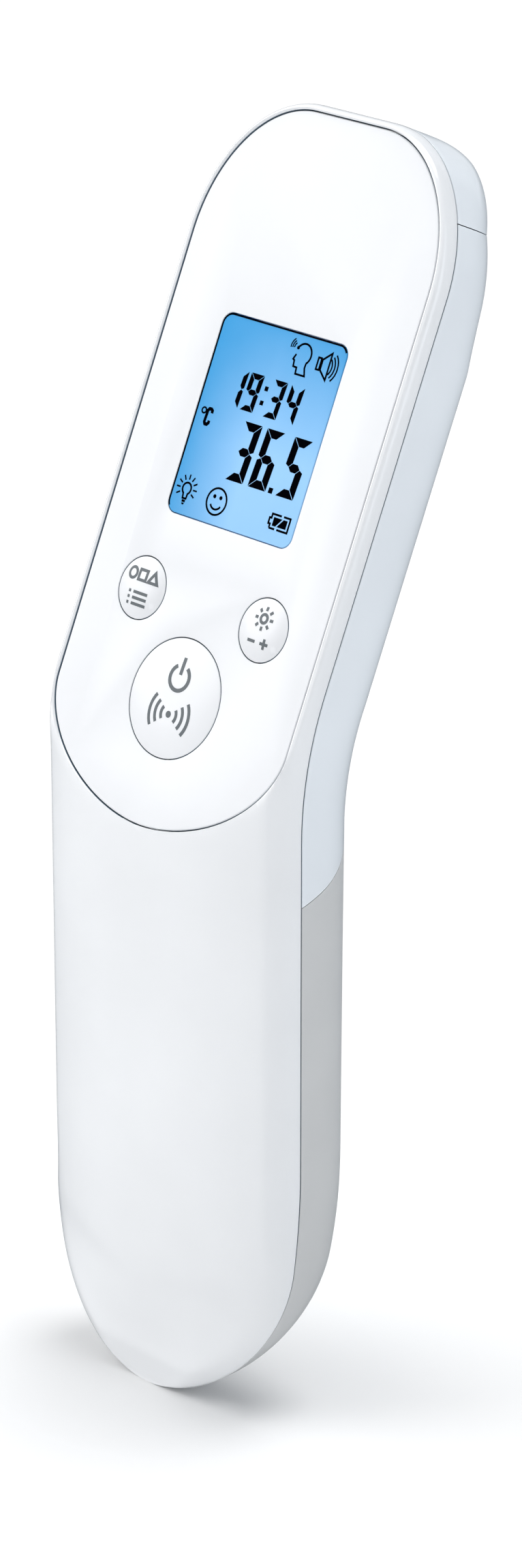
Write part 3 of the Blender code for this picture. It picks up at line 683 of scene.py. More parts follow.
def new_look(name, colour, roughness, metallic=0.0, coat=0.0):
    """A Principled material and its node tree, with constants on the shader's own sockets."""
    look = bpy.data.materials.new(name)
    look.use_nodes = True
    shader = look.node_tree.nodes["Principled BSDF"]
    feed(look.node_tree, shader, {
        "Base Color": (*colour, 1.0), "Roughness": roughness, "Metallic": metallic,
        "Coat Weight": coat, "Coat Roughness": COAT_ROUGHNESS,
    })
    return look, look.node_tree, shader


def object_coordinates(tree):
    return add_node(tree, "TexCoord", {})["Object"]


def split_axes(tree, coordinates):
    """The X, Y and Z of some coordinates, by name."""
    return add_node(tree, "SeparateXYZ", {"Vector": coordinates})


def noise(tree, coordinates, scale, detail=3.0):
    return add_node(tree, "TexNoise", {"Scale": scale, "Detail": detail, "Vector": coordinates})["Fac"]


def remap(tree, value, low, high, from_low=0.3, from_high=0.7):
    inputs = {"From Min": from_low, "From Max": from_high, "To Min": low, "To Max": high,
              "Value": value}
    return add_node(tree, "MapRange", inputs)["Result"]


def blend_colours(tree, factor, first, second):
    """Mixes two colours, each a tuple or a socket, by a factor."""
    node = tree.nodes.new("ShaderNodeMix")
    node.data_type = "RGBA"
    sockets = [s for s in node.inputs if s.type == "RGBA"]
    for socket, colour in zip(sockets, (first, second)):
        if isinstance(colour, tuple):
            socket.default_value = (*colour, 1.0)
        else:
            tree.links.new(colour, socket)
    feed(tree, node, {0: factor})
    return [s for s in node.outputs if s.type == "RGBA"][0]


def combine(tree, operation, first, second):
    return add_node(tree, "Math", {0: first, 1: second}, operation=operation)["Value"]


def blend_shaders(tree, factor, first, second, output):
    """Mixes two shaders by a factor into a material's or a world's output node."""
    mixed = add_node(tree, "MixShader", {"Fac": factor, 1: first, 2: second})["Shader"]
    feed(tree, tree.nodes[output], {"Surface": mixed})


def emboss(tree, shader, height, strength, depth):
    """Raises the surface's shading by a height, to a depth in millimetres."""
    inputs = {"Strength": strength, "Distance": depth * MM, "Height": height}
    feed(tree, shader, {"Normal": add_node(tree, "Bump", inputs)["Normal"]})


def shade(colour, share):
    return tuple(min(1.0, c * share) for c in colour)


def plastic(name, colour, roughness, coat=0.0, grain=2500.0, bump=0.15, wear=0.5, metallic=0.0,
            uneven=0.06, tone=0.03, specular=0.5):
    """A surface with moulded grain, uneven gloss, slight colour variation and rubbed edges."""
    look, tree, shader = new_look(name, colour, roughness, metallic, coat)
    coordinates = object_coordinates(tree)
    broad = noise(tree, coordinates, BROAD_SCALE, 2.0)
    fine = noise(tree, coordinates, grain, 4.0)
    varied = blend_colours(tree, remap(tree, broad, 0.0, 1.0), shade(colour, 1.0 - tone),
                           shade(colour, 1.0 + tone / 2.0))
    point = add_node(tree, "NewGeometry", {})["Pointiness"]
    edges = remap(tree, point, 0.0, wear, RUBBED_FROM, RUBBED_FULL)
    glossy = max(0.02, roughness - uneven / 2.0)
    feed(tree, shader, {
        "Base Color": blend_colours(tree, edges, varied, shade(colour, RUBBED_SHADE)),
        "Roughness": remap(tree, broad, glossy, roughness + uneven),
        "Specular IOR Level": specular,
    })
    emboss(tree, shader, fine, bump, GRAIN_DEPTH)
    return look


def metal(name, colour):
    return plastic(name, colour, 0.28, grain=900.0, bump=0.2, metallic=1.0, uneven=0.16, tone=0.08)


def display_look():
    """The backlit display: deep blue along its left and top, paler to the lower right."""
    deep = (0.008, 0.225, 0.500)
    pale = (0.240, 0.455, 0.710)
    look, tree, shader = new_look("display_blue", deep, 0.35)
    coordinates = object_coordinates(tree)
    axes = split_axes(tree, coordinates)
    across = remap(tree, axes["X"], 0.1, 1.0, -WINDOW_HALF * MM, 0.0)
    down = remap(tree, axes["Y"], 1.0, 0.10, GLOW_LOW * MM, WINDOW_HIGH * MM)
    cloud = remap(tree, noise(tree, coordinates, 90.0, 2.0), -0.04, 0.04)
    total = combine(tree, "ADD", combine(tree, "MULTIPLY", across, down), cloud)
    blue = blend_colours(tree, total, deep, pale)
    feed(tree, shader, {
        "Base Color": blue, "Emission Color": blue, "Emission Strength": 0.30,
        "Specular IOR Level": 0.15, "Roughness": remap(tree, cloud, 0.3, 0.4, -0.04, 0.04),
    })
    return look


def board_look():
    """Green solder mask with lighter tracks under it."""
    colour = (0.015, 0.16, 0.06)
    look, tree, shader = new_look("solder_mask", colour, 0.35, coat=0.3)
    coordinates = object_coordinates(tree)
    brick = {"Scale": 260.0, "Mortar Size": 0.03, "Vector": coordinates}
    tracks = add_node(tree, "TexBrick", brick)["Fac"]
    lines = remap(tree, tracks, 0.0, 1.0, 0.0, 1.0)
    feed(tree, shader, {
        "Base Color": blend_colours(tree, lines, colour, (0.03, 0.30, 0.12)),
        "Roughness": remap(tree, noise(tree, coordinates, 300.0), 0.28, 0.45),
    })
    emboss(tree, shader, tracks, 0.3, 0.03)
    return look


def cell_look():
    """A cell's printed sleeve: a green body with a pale band towards one end."""
    look, tree, shader = new_look("cell_sleeve", (0.05, 0.26, 0.12), 0.3, coat=0.4)
    coordinates = object_coordinates(tree)
    height = split_axes(tree, coordinates)["Z"]
    low, high = (corner.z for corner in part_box("battery_left"))
    length = high - low
    band = remap(tree, height, 0.0, 1.0, high - BAND_BEGINS * length, high - BAND_FULL * length)
    feed(tree, shader, {
        "Base Color": blend_colours(tree, band, (0.04, 0.24, 0.11), (0.62, 0.63, 0.62)),
        "Roughness": remap(tree, noise(tree, coordinates, 400.0), 0.22, 0.38),
    })
    emboss(tree, shader, noise(tree, coordinates, 1500.0), 0.1, GRAIN_DEPTH)
    return look


LOOKS = {
    "white": plastic("gloss_white", (0.86, 0.87, 0.885), 0.18, coat=0.6, bump=0.05),
    "panel": plastic("panel_white", (0.80, 0.81, 0.83), 0.36, bump=0.03, specular=0.3),
    "button": plastic("button_white", (0.77, 0.78, 0.80), 0.30, coat=0.1, bump=0.05),
    # Painted shade: the rear shell and sensor cover are the white plastic made a little darker and
    # bluer, for the shade on their sides that face away from the key light
    "shell": plastic("shell_grey_painted_shade", (0.80, 0.84, 0.88), 0.20, coat=0.25, bump=0.06),
    "door": plastic("door_grey", (0.60, 0.605, 0.605), 0.42, grain=3200.0, bump=0.35),
    # Painted shade: a dark blue-grey on the faces that line gaps, in place of the shade deep in them
    "gap": plastic("gap_shadow_grey", (0.13, 0.18, 0.23), 0.6, bump=0.1, specular=0.1),
    "mark": plastic("printed_grey", (0.125, 0.140, 0.150), 0.45, bump=0.1, specular=0.2),
    "digit": plastic("display_black", (0.001, 0.001, 0.002), 0.7, bump=0.02, specular=0.0),
    "display": display_look(),
    "board": board_look(),
    "cell": cell_look(),
    "frame": plastic("frame_white", (0.70, 0.70, 0.70), 0.5, bump=0.3),
    "guide": plastic("light_guide", (0.80, 0.84, 0.88), 0.15, coat=0.4, bump=0.1),
    "glass": plastic("display_glass", (0.10, 0.30, 0.60), 0.10, coat=0.8, bump=0.02),
    "rubber": plastic("dark_rubber", (0.030, 0.030, 0.032), 0.75, bump=0.5, wear=0.2),
    "led": plastic("led_white", (0.85, 0.84, 0.72), 0.3, coat=0.3, bump=0.1),
    "chip": plastic("chip_black", (0.022, 0.022, 0.024), 0.55, bump=0.5, wear=0.3),
    "steel": metal("plated_steel", (0.60, 0.60, 0.58)),
    "brass": metal("brass", (0.74, 0.54, 0.22)),
    "lens": plastic("sensor_filter", (0.035, 0.030, 0.045), 0.06, coat=1.0, bump=0.01, wear=0.1),
    "cradle": plastic("cradle_grey", (0.27, 0.28, 0.29), 0.45, grain=1800.0, bump=0.3),
    "red": plastic("red_lead", (0.50, 0.025, 0.025), 0.4, bump=0.2),
    "black": plastic("black_lead", (0.020, 0.020, 0.020), 0.4, bump=0.2),
}

KEPT_NODES = {
    "glass": ["lcd_glass"],
    "frame": ["lcd_frame", "mode_plunger", "light_plunger", "scan_plunger"],
    "guide": ["backlight_guide"],
    "led": ["backlight_led"],
    "rubber": ["zebra_connector", "sensor_gasket"],
    "board": ["main_pcb", "sensor_board"],
    "chip": ["mcu_chip", "buzzer", "mode_switch", "light_switch", "scan_switch"],
    "brass": ["sensor_barrel"],
    "lens": ["sensor_window"],
    "cradle": ["battery_cradle"],
    "cell": ["battery_left", "battery_right"],
    "red": ["lead_positive"],
    "black": ["lead_negative"],
    "steel": ["crystal", "sensor_ring", "thermopile", "spring_left", "spring_right", "positive_plate",
              "negative_plate", "bridge_plate", "pcb_screw_1", "pcb_screw_2", "pcb_screw_3",
              "pcb_screw_4", "cradle_screw_1", "cradle_screw_2", "rear_screw_1", "rear_screw_2"],
}


def dress_kept_nodes():
    for look, names in KEPT_NODES.items():
        for name in names:
            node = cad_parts[name]
            node.data.materials.clear()
            node.data.materials.append(LOOKS[look])


# ---------------------------------------------------------------- casings

def make_front_casing():
    whole = grip_run(TIP + TIP_CUT, BEND_START) + bend_run() + head_run(BEND_END_V, TOP)
    casing = mesh_object("front_casing_shell", shell(whole, front_outline, hollow_outline, 1.0))
    recess = flared(lambda grow: panel_outline(LINE + grow), PLATE_FRONT, RIM_HEIGHT, RECESS_EDGE,
                    THROUGH)
    carve(casing, recess, True)
    carve(casing, openings(SLIT, PLATE_FRONT), True)
    # The walls of the recess and of the openings get the painted gap shade
    middle = Vector((0.0, WINDOW_LOW, 0.0))
    paint_gap_shade(casing, lambda centre, normal: PLATE_FRONT < centre.z < -GAP_LIP
             and normal.dot(middle - centre) > 0.0)
    settle(casing, "white", "body", "front_casing")


def make_rear_casing():
    whole = (grip_run(REAR_LOW, BEND_START) + bend_run()
             + head_run(BEND_END_V, CAP_SEAM - LINE / 2))
    casing = mesh_object("rear_casing_shell", shell(whole, back_ring, back_hollow, -1.0))
    carve(casing, seam_side(False, LINE / 2))
    settle(casing, "shell", "body", "rear_casing")


def make_battery_door():
    whole = grip_run(TIP + TIP_CUT, BEND_START) + bend_run()[:DOOR_BEND_ROWS]
    door = mesh_object("battery_door_shell", shell(whole, back_ring, back_hollow, -1.0))
    carve(door, seam_side(True, -LINE / 2))
    settle(door, "door", "battery_door", "battery_door")


def door_ridge(z):
    """A bar across the back of the grip, rounded, and thinner toward its ends."""
    part = grip_section(z)
    rings = []
    for i in range(RIDGE_STEPS + 1):
        along = -1.0 + 2.0 * i / RIDGE_STEPS
        swell = max(0.2, (1.0 - abs(along) ** RIDGE_ENDS) ** 0.5)
        ring = []
        for j in range(RIDGE_ROUND + 1):
            a = math.pi * j / RIDGE_ROUND
            sunk = RIDGE_RISE if j in (0, RIDGE_ROUND) else 0.0
            height = RIDGE_RISE * swell * math.sin(a) - sunk
            x, y, foot = section_point(part, RIDGE_HALF * along, -(part["back"] + height))
            ring.append((x, y, foot + RIDGE_WIDE * swell * math.cos(a)))
        rings.append(ring)
    return loft(rings)


def make_door_ridges():
    """Raised bars on the battery door, for the thumb that slides it."""
    bars = join_meshes([door_ridge(RIDGE_LOW + RIDGE_PITCH * i) for i in range(RIDGE_COUNT)])
    ridges = mesh_object("battery_door_ridges", bars)
    settle(ridges, "door", "battery_door", sharp=60.0)


def make_sensor_cover():
    rings = [[section_point(part, x, -behind) for x, behind in back_ring(part)]
             for part in head_run(CAP_SEAM + LINE / 2, TOP)]
    cover = mesh_object("sensor_cover_shell", loft(rings))
    hollow = []
    for part in head_run(CAP_SEAM - COVER_OVERCUT, TOP - WALL):
        ring = back_hollow(part)
        open_ring = [(ring[0][0], -COVER_OVERCUT)] + ring[1:-1] + [(ring[-1][0], -COVER_OVERCUT)]
        hollow.append([section_point(part, x, -behind) for x, behind in open_ring])
    carve(cover, loft(hollow))
    aperture = flared(lambda grow: circle(APERTURE_RADIUS + grow, APERTURE_STEPS), TOP - 2.0 * WALL, TOP,
                      APERTURE_EDGE, TOP + WALL)
    to_top = Matrix.Translation((0.0, 0.0, SENSOR_N)) @ Matrix.Rotation(-0.5 * math.pi, 4, "X")
    bmesh.ops.transform(aperture, matrix=to_top, verts=aperture.verts)
    carve(cover, aperture, True)
    settle(cover, "shell", "body", "sensor_cover")


# ---------------------------------------------------------------- face pieces

def make_face_panel():
    panel = mesh_object("face_panel_sheet", slab(panel_outline, -PANEL_THICK, PANEL_EDGE), True)
    carve(panel, openings(PANEL_HOLE_EDGE, 0.0), True)
    # The walls of the window and button holes get the painted gap shade
    paint_gap_shade(panel, lambda centre, normal: centre.z < -GAP_LIP)
    settle(panel, "panel", "body", "face_panel")


def make_display():
    screen = mesh_object("display_screen", slab(window_outline, PLATE_BACK, SCREEN_EDGE), True)
    settle(screen, "display", "body", "display_window")


def dome_height(radius, distance):
    return BUTTON_DOME * (1.0 - min(1.0, distance / radius) ** DOME_POWER)


def make_button(name):
    x, v, radius = BUTTONS[name]
    flange = radius + FLANGE_EXTRA
    profile = [(POST_TIP_RADIUS, POST_BOTTOM), (POST_TIP_RADIUS, FLANGE_BOTTOM),
               (flange, FLANGE_BOTTOM), (flange, FLANGE_TOP), (radius, FLANGE_TOP)]
    profile += [(radius - into, height) for into, height in rounded_edge(EDGE)]
    crown = radius - EDGE
    for i in range(1, DOME_STEPS):
        ring = crown * (1.0 - i / DOME_STEPS)
        profile.append((ring, dome_height(crown, ring)))
    rings = [[(px, pv, height) for px, pv in circle(ring, ROUND_STEPS, (x, v))]
             for ring, height in profile]
    button = mesh_object(name + "_button_cap", loft(rings), True)
    # The cap's side wall, in the ring gap round it, gets the painted gap shade
    paint_gap_shade(button, lambda centre, normal: FLANGE_TOP < centre.z < -GAP_LIP)
    settle(button, "button", name + "_button", name + "_button", 30.0)


# ---------------------------------------------------------------- printed marks

# How far marks stand out of a surface, and how far they reach into it
MARK_LIFT = 0.03
MARK_DEPTH = 0.06
STROKE_STEP = 0.5

# A stroke grows no wider at a corner than its width over CORNER_COSINE. Two directions that
# together are shorter than LEAST_TURN are a way out and back, with no corner between them
CORNER_COSINE = 0.45
LEAST_TURN = 0.2

# Widths of lines
ICON_LINE = 0.29
RAY_LINE = 0.24
WAVE_LINE = 0.19
BATTERY_LINE = 0.3
UNIT_LINE = 0.5
# Width of the painted shadow along the display's left side and top
EDGE_SHADOW_LINE = 0.26
SMALL_MARK_LINE = 0.44
POWER_LINE = 0.58
SCAN_LINE = 0.52


def flat_surface(x, v):
    return 0.0


def arc(centre, radius, start, end, steps=14):
    """Points along an arc, with angles in degrees."""
    points = []
    for i in range(steps + 1):
        a = math.radians(start + (end - start) * i / steps)
        points.append((centre[0] + radius * math.cos(a), centre[1] + radius * math.sin(a)))
    return points


def densify(points, closed):
    """Adds points along straight stretches, so that a stroke can follow a domed surface."""
    dense = []
    for (x0, v0), (x1, v1) in pairs_of(points, closed):
        count = max(1, math.ceil(math.hypot(x1 - x0, v1 - v0) / STROKE_STEP))
        for i in range(count):
            t = i / count
            dense.append((x0 + (x1 - x0) * t, v0 + (v1 - v0) * t))
    if not closed:
        dense.append(points[-1])
    return dense


def stroke(bm, points, width, surface=flat_surface, closed=False):
    """A raised stroke along points on a surface, which gives the height n at x and v."""
    dense = densify(points, closed)
    count = len(dense)
    rings = []
    for i, (x, v) in enumerate(dense):
        before = dense[(i - 1) % count] if closed or i > 0 else dense[i]
        after = dense[(i + 1) % count] if closed or i < count - 1 else dense[i]
        into = Vector((x - before[0], v - before[1]))
        out = Vector((after[0] - x, after[1] - v))
        into = into.normalized() if into.length > 0.0 else out.normalized()
        out = out.normalized() if out.length > 0.0 else into
        along = (into + out).normalized() if (into + out).length > LEAST_TURN else into
        reach = 0.5 * width / max(CORNER_COSINE, along.dot(into))
        side = Vector((-along.y, along.x)) * reach
        rings.append([])
        for sign, lift in ((1.0, MARK_LIFT), (-1.0, MARK_LIFT),
                           (-1.0, -MARK_DEPTH), (1.0, -MARK_DEPTH)):
            px = x + sign * side.x
            pv = v + sign * side.y
            rings[-1].append((px, pv, surface(px, pv) + lift))
    skin(bm, rings, closed)


def plate(bm, outline, surface=flat_surface):
    """A raised patch with a straight-sided outline."""
    skin(bm, [[(x, v, surface(x, v) + lift) for x, v in outline]
              for lift in (-MARK_DEPTH, MARK_LIFT)])


# The bars that each digit lights, and how far digits lean to the right
SEGMENTS = {"1": "bc", "3": "abgcd", "4": "fgbc", "5": "afgcd", "6": "afgedc", "9": "abcdfg"}
SLANT = 0.062


def segment_outlines(width, height, thick, gap):
    """The seven bars of a digit whose lower left corner is the origin."""
    middle = height / 2.0
    top = [(gap, height), (width - gap, height), (width - gap - thick, height - thick),
           (gap + thick, height - thick)]
    right = [(width, height - gap), (width - thick, height - thick - gap),
             (width - thick, middle + thick / 2.0 + gap), (width - thick / 2.0, middle + gap / 2.0),
             (width, middle + thick / 4.0 + gap / 2.0)]
    bar = [(thick / 2.0 + gap, middle), (thick + gap, middle + thick / 2.0),
           (width - thick - gap, middle + thick / 2.0), (width - thick / 2.0 - gap, middle),
           (width - thick - gap, middle - thick / 2.0), (thick + gap, middle - thick / 2.0)]

    def over(points):
        return [(x, height - y) for x, y in points]

    def across(points):
        return [(width - x, y) for x, y in points]

    return {"a": top, "b": right, "c": over(right), "d": over(top), "e": over(across(right)),
            "f": across(right), "g": bar}


def digit(bm, character, left, low, width, height, thick, gap):
    outlines = segment_outlines(width, height, thick, gap)
    for name in SEGMENTS[character]:
        slanted = [(left + x + SLANT * y, low + y) for x, y in outlines[name]]
        plate(bm, slanted)


def dot(bm, x, v, half):
    lean = SLANT * half
    plate(bm, [(x - half, v - half), (x + half, v - half), (x + half + lean, v + half),
               (x - half + lean, v + half)])


# Rows of digits on the display: foot, height, digit width, bar thickness and gap between bars
TIME_ROW = (41.75, 5.5, 2.6, 0.82, 0.07)
READING_ROW = (31.75, 8.65, 3.55, 1.22, 0.08)


def row_of_digits(bm, row, digits):
    """Draws characters, each with its left edge, on one row of the display."""
    low, height, width, thick, gap = row
    for character, left in digits:
        digit(bm, character, left, low, width, height, thick, gap)


def make_digits():
    """A time of day above a body temperature, with its unit."""
    bm = bmesh.new()
    row_of_digits(bm, TIME_ROW, (("1", -7.5), ("9", -4.4), ("3", 0.3), ("4", 3.75)))
    dot(bm, -0.62, 43.5, 0.33)
    dot(bm, -0.48, 45.6, 0.33)
    row_of_digits(bm, READING_ROW, (("3", -3.1), ("6", 1.5), ("5", 7.05)))
    dot(bm, 6.0, 32.15, 0.4)
    stroke(bm, arc((-10.95, 40.15), 0.42, 0.0, 345.0), RAY_LINE, closed=True)
    unit = [(-9.32, 40.0), (-9.32, 40.35), (-9.55, 40.55), (-9.98, 40.55), (-10.2, 40.3),
            (-10.3, 38.6), (-10.1, 38.3), (-9.7, 38.3), (-9.45, 38.55), (-9.43, 38.9)]
    stroke(bm, unit, UNIT_LINE)
    settle(mesh_object("display_digits", bm, True), "digit", "body")


def draw_head(bm):
    """A head from the side, with waves that reach its forehead."""
    outline = arc((4.45, 51.75), 1.5, 150.0, -50.0, 16)
    outline += [(5.35, 49.9), (5.75, 48.8), (3.95, 48.8), (3.85, 49.7), (3.15, 49.75), (3.05, 50.6),
                (2.75, 50.75), (3.1, 51.5)]
    stroke(bm, outline, ICON_LINE)
    forehead = (3.12, 52.45)
    plate(bm, circle(0.27, 12, forehead))
    for radius in (0.75, 1.1, 1.45):
        stroke(bm, arc(forehead, radius, 128.0, 188.0, 6), WAVE_LINE)


def draw_speaker(bm):
    stroke(bm, [(7.45, 50.25), (8.05, 50.25), (8.05, 51.95), (7.45, 51.95)], ICON_LINE, closed=True)
    stroke(bm, [(8.3, 50.3), (9.75, 49.1), (9.75, 53.0), (8.3, 51.8)], ICON_LINE, closed=True)
    for radius in (1.6, 2.15, 2.7):
        stroke(bm, arc((8.75, 51.05), radius, -44.0, 44.0, 8), RAY_LINE)


def draw_lamp(bm):
    x, v = -9.72, 28.75
    stroke(bm, arc((x, v), 0.85, 240.0, -60.0) + [(-9.35, 27.3), (-10.05, 27.3)], ICON_LINE, closed=True)
    plate(bm, [(-10.02, 26.75), (-9.38, 26.75), (-9.38, 27.1), (-10.02, 27.1)])
    plate(bm, [(-9.87, 26.4), (-9.53, 26.4), (-9.45, 26.65), (-9.95, 26.65)])
    for i in range(9):
        a = math.radians(-30.0 + 30.0 * i)
        stroke(bm, [(x + r * math.cos(a), v + r * math.sin(a)) for r in (1.3, 2.05)], RAY_LINE)


def draw_smile(bm):
    centre = (-3.38, 28.3)
    stroke(bm, circle(1.93, 32, centre), ICON_LINE, closed=True)
    stroke(bm, arc(centre, 1.15, 210.0, 330.0, 12), ICON_LINE)
    for x in (-4.0, -2.75):
        plate(bm, circle(0.3, 12, (x, 28.95)))


def draw_battery(bm):
    """A battery's outline, open on a slant, round two filled cells."""
    for points in ([(7.75, 27.15), (7.75, 27.75), (7.4, 27.75), (7.4, 28.6), (7.75, 28.6),
                    (7.75, 29.2), (9.55, 29.2)],
                   [(10.0, 29.2), (11.35, 29.2), (11.35, 27.15), (9.3, 27.15)],
                   [(7.75, 27.15), (8.85, 27.15)]):
        stroke(bm, points, BATTERY_LINE)
    plate(bm, [(8.2, 27.55), (8.85, 27.55), (9.85, 28.8), (8.2, 28.8)])
    plate(bm, [(9.15, 27.55), (10.9, 27.55), (10.9, 28.8), (10.15, 28.8)])


def make_icons():
    """Generic display signs: a head being measured, sound, light, a smile and a battery."""
    bm = bmesh.new()
    for draw in (draw_head, draw_speaker, draw_lamp, draw_smile, draw_battery):
        draw(bm)
    settle(mesh_object("display_icons", bm, True), "digit", "body")


def make_display_edge_shadow():
    """Painted shadow: a dark line along the display's left side and its top, where the opening's edge
    shades it.
    """
    bm = bmesh.new()
    inside = 0.09
    left = -WINDOW_HALF + inside
    high = WINDOW_HIGH - inside
    radius = WINDOW_RADIUS - inside
    points = arc((left + radius, WINDOW_LOW + WINDOW_RADIUS), radius, 215.0, 180.0, 5)
    points += arc((left + radius, high - radius), radius, 180.0, 90.0, 10)
    points += arc((WINDOW_HALF - WINDOW_RADIUS, high - radius), radius, 90.0, 30.0, 7)
    stroke(bm, points, EDGE_SHADOW_LINE)
    settle(mesh_object("display_edge_shadow", bm, True), "digit", "body")


def start_mark(name):
    """A new mesh for a button's mark, the button's centre, and its domed surface."""
    x, v, radius = BUTTONS[name]
    return bmesh.new(), x, v, lambda px, pv: dome_height(radius - EDGE, math.hypot(px - x, pv - v))


def finish_mark(name, bm):
    settle(mesh_object(name + "_mark", bm, True), "mark", name + "_button")


def make_mode_mark():
    """Generic signs for modes and for a list: three shapes over three lines."""
    bm, x, v, surface = start_mark("mode")
    row = v + 1.75
    square = [(x - 0.75, row - 0.75), (x + 0.75, row - 0.75), (x + 0.75, row + 0.75),
              (x - 0.75, row + 0.75)]
    triangle = [(x + 1.3, row - 0.75), (x + 3.0, row - 0.75), (x + 2.15, row + 0.8)]
    for outline in (circle(0.8, 24, (x - 2.1, row)), square, triangle):
        stroke(bm, outline, SMALL_MARK_LINE, surface, True)
    for i in range(3):
        height = v - 0.85 - 0.85 * i
        stroke(bm, [(x - 1.9, height), (x - 1.45, height)], SMALL_MARK_LINE, surface)
        stroke(bm, [(x - 0.9, height), (x + 1.9, height)], SMALL_MARK_LINE, surface)
    finish_mark("mode", bm)


def make_light_mark():
    """Generic signs for light and for a setting: a sun over a minus and a plus."""
    bm, x, v, surface = start_mark("light")
    sun = v + 1.6
    stroke(bm, circle(0.62, 24, (x, sun)), SMALL_MARK_LINE, surface, True)
    for i in range(8):
        a = math.radians(45.0 * i)
        ray = [(x + r * math.cos(a), sun + r * math.sin(a)) for r in (1.15, 1.75)]
        stroke(bm, ray, SMALL_MARK_LINE, surface)
    row = v - 1.85
    for line in ([(x - 2.0, row), (x - 0.5, row)], [(x + 0.5, row), (x + 2.0, row)],
                 [(x + 1.25, row + 0.75), (x + 1.25, row - 0.75)]):
        stroke(bm, line, SMALL_MARK_LINE, surface)
    finish_mark("light", bm)


def make_scan_mark():
    """Generic signs for power and for a scan: a broken ring over waves to both sides."""
    bm, _, _, surface = start_mark("scan")
    across = 0.25
    stroke(bm, arc((across, 3.0), 1.85, 122.0, 418.0, 26), POWER_LINE, surface)
    stroke(bm, [(across, 3.45), (across, 6.0)], POWER_LINE, surface)
    source = (across, -2.4)
    plate(bm, circle(0.5, 20, source), surface)
    for radius in (1.5, 2.7, 3.9):
        for middle in (0.0, 180.0):
            stroke(bm, arc(source, radius, middle - 36.0, middle + 36.0, 10), SCAN_LINE, surface)
    finish_mark("scan", bm)


# ---------------------------------------------------------------- studio

# The floor reaches FLOOR_REACH millimetres to each side. The camera sees it whole up to
# FLOOR_SOLID metres from the tip, and then less and less up to FLOOR_END
FLOOR_REACH = 3000.0
FLOOR_SOLID = 0.03
FLOOR_END = 0.11
FLOOR_WHITE = (0.90, 0.90, 0.90)

# Light comes from the sky mostly on the side that the camera sees
BRIGHT_SIDE = Vector((-0.6, -0.65, 0.45)).normalized()
SKY_STRENGTH = 0.50
BACKDROP_STRENGTH = 1.05
LIT_POINT = Vector((0.0, 0.01, 0.045))

CAMERA_TARGET = Vector((0.0117, 0.0048, 0.0467))
CAMERA_AZIMUTH = math.radians(46.11)
CAMERA_ELEVATION = math.radians(21.66)
CAMERA_DISTANCE = 0.7109
CAMERA_LENS = 115.2


def studio_look(name, colour, roughness):
    """A matt material whose colour changes slightly from place to place."""
    look, tree, shader = new_look(name, colour, roughness)
    tone = remap(tree, noise(tree, object_coordinates(tree), 2.0), 0.0, 1.0)
    feed(tree, shader, {"Base Color": blend_colours(tree, tone, shade(colour, 0.995), colour)})
    return look


def floor_sheet(name, height, look):
    """A wide level sheet, at a height in millimetres over the object's lowest point."""
    bm = bmesh.new()
    corners = ((-1.0, -1.0), (1.0, -1.0), (1.0, 1.0), (-1.0, 1.0))
    bm.faces.new([bm.verts.new((FLOOR_REACH * x, FLOOR_REACH * y, height)) for x, y in corners])
    sheet = mesh_object(name, bm)
    sheet.location.z = cad_low.z
    sheet.data.materials.append(look)
    return sheet


def make_floor():
    """A pale floor that fades out round the object, so that a part below it shows too. A second
    sheet under it, which the camera can't see, keeps the light even."""
    look = studio_look("floor_white", FLOOR_WHITE, 0.6)
    tree = look.node_tree
    away = add_node(tree, "VectorMath", {0: object_coordinates(tree)}, operation="LENGTH")["Value"]
    faded = remap(tree, away, 0.0, 1.0, FLOOR_SOLID, FLOOR_END)
    blend_shaders(tree, faded, tree.nodes["Principled BSDF"].outputs["BSDF"],
                  add_node(tree, "BsdfTransparent", {})["BSDF"], "Material Output")
    floor_sheet("studio_floor", 0.0, look)
    bounce = floor_sheet("studio_bounce", -0.4, studio_look("bounce_white", FLOOR_WHITE, 0.6))
    bounce.visible_camera = False
    bounce.visible_shadow = False


def make_reflector():
    """A dark sheet over the floor that only reflections see, so that white edges stand out."""
    sheet = floor_sheet("studio_reflector", 0.1, studio_look("reflector_dark", (0.10, 0.12, 0.14), 0.9))
    sheet.visible_camera = False
    sheet.visible_diffuse = False
    sheet.visible_shadow = False


def add_light(name, kind, power, toward):
    light = bpy.data.objects.new(name, bpy.data.lights.new(name, kind))
    light.data.energy = power
    light.rotation_euler = Vector(toward).to_track_quat("-Z", "Y").to_euler()
    bpy.context.scene.collection.objects.link(light)
    return light


def area_light(name, place, size, power, colour=(1.0, 1.0, 1.0)):
    light = add_light(name, "AREA", power, LIT_POINT - Vector(place))
    light.location = place
    light.data.shape = "RECTANGLE"
    light.data.size, light.data.size_y = size
    light.data.color = colour


def sky_light(name, place, power, spread_angle):
    add_light(name, "SUN", power, -Vector(place)).data.angle = math.radians(spread_angle)


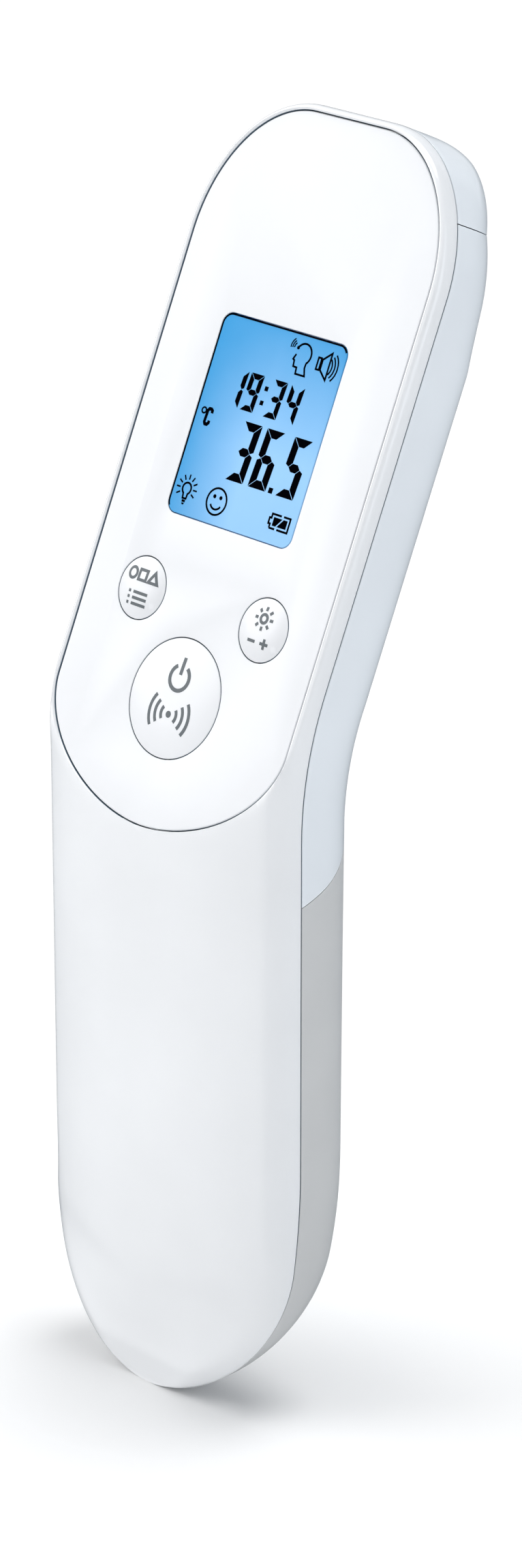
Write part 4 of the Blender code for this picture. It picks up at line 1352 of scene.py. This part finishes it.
def make_world():
    """A soft sky, brighter on one side, that the camera sees as plain white."""
    world = bpy.data.worlds.new("studio")
    world.use_nodes = True
    tree = world.node_tree
    inputs = {0: add_node(tree, "TexCoord", {})["Generated"], 1: BRIGHT_SIDE}
    toward = add_node(tree, "VectorMath", inputs, operation="DOT_PRODUCT")["Value"]
    side = remap(tree, toward, 0.0, 1.0, -0.55, 0.85)
    sky = tree.nodes["Background"]
    feed(tree, sky, {"Color": blend_colours(tree, side, (0.56, 0.61, 0.67), (0.97, 0.985, 1.0)),
                     "Strength": SKY_STRENGTH})
    white = {"Color": (1.0, 1.0, 1.0, 1.0), "Strength": BACKDROP_STRENGTH}
    blend_shaders(tree, add_node(tree, "LightPath", {})["Is Camera Ray"], sky.outputs["Background"],
                  add_node(tree, "Background", white)["Background"], "World Output")
    bpy.context.scene.world = world


def make_studio():
    make_world()
    bpy.context.scene.view_settings.view_transform = "Standard"
    sky_light("key", (-0.85, -0.6, 0.65), 1.8, 50.0)
    sky_light("top", (0.0, 0.3, 1.0), 1.7, 36.0)
    area_light("right", (0.9, 0.2, 0.3), (0.3, 0.9), 1.3, (0.90, 0.95, 1.0))
    area_light("strip", (0.56, -0.67, 0.27), (0.06, 0.5), 0.75)
    area_light("rear", (-0.3, 0.9, 0.45), (0.7, 0.7), 0.5, (0.95, 0.97, 1.0))


def make_camera():
    back = Vector((math.sin(CAMERA_AZIMUTH) * math.cos(CAMERA_ELEVATION),
                   -math.cos(CAMERA_AZIMUTH) * math.cos(CAMERA_ELEVATION), math.sin(CAMERA_ELEVATION)))
    data = bpy.data.cameras.new("camera")
    data.lens = CAMERA_LENS
    data.clip_start = 0.01
    camera = bpy.data.objects.new("camera", data)
    bpy.context.scene.collection.objects.link(camera)
    camera.location = CAMERA_TARGET + back * CAMERA_DISTANCE
    camera.rotation_euler = (-back).to_track_quat("-Z", "Y").to_euler()
    bpy.context.scene.camera = camera


dress_kept_nodes()
make_front_casing()
make_rear_casing()
make_battery_door()
make_door_ridges()
make_sensor_cover()
make_face_panel()
make_display()
make_display_edge_shadow()
make_digits()
make_icons()
for button in BUTTONS:
    make_button(button)
make_mode_mark()
make_light_mark()
make_scan_mark()
make_floor()
make_reflector()
make_camera()
make_studio()
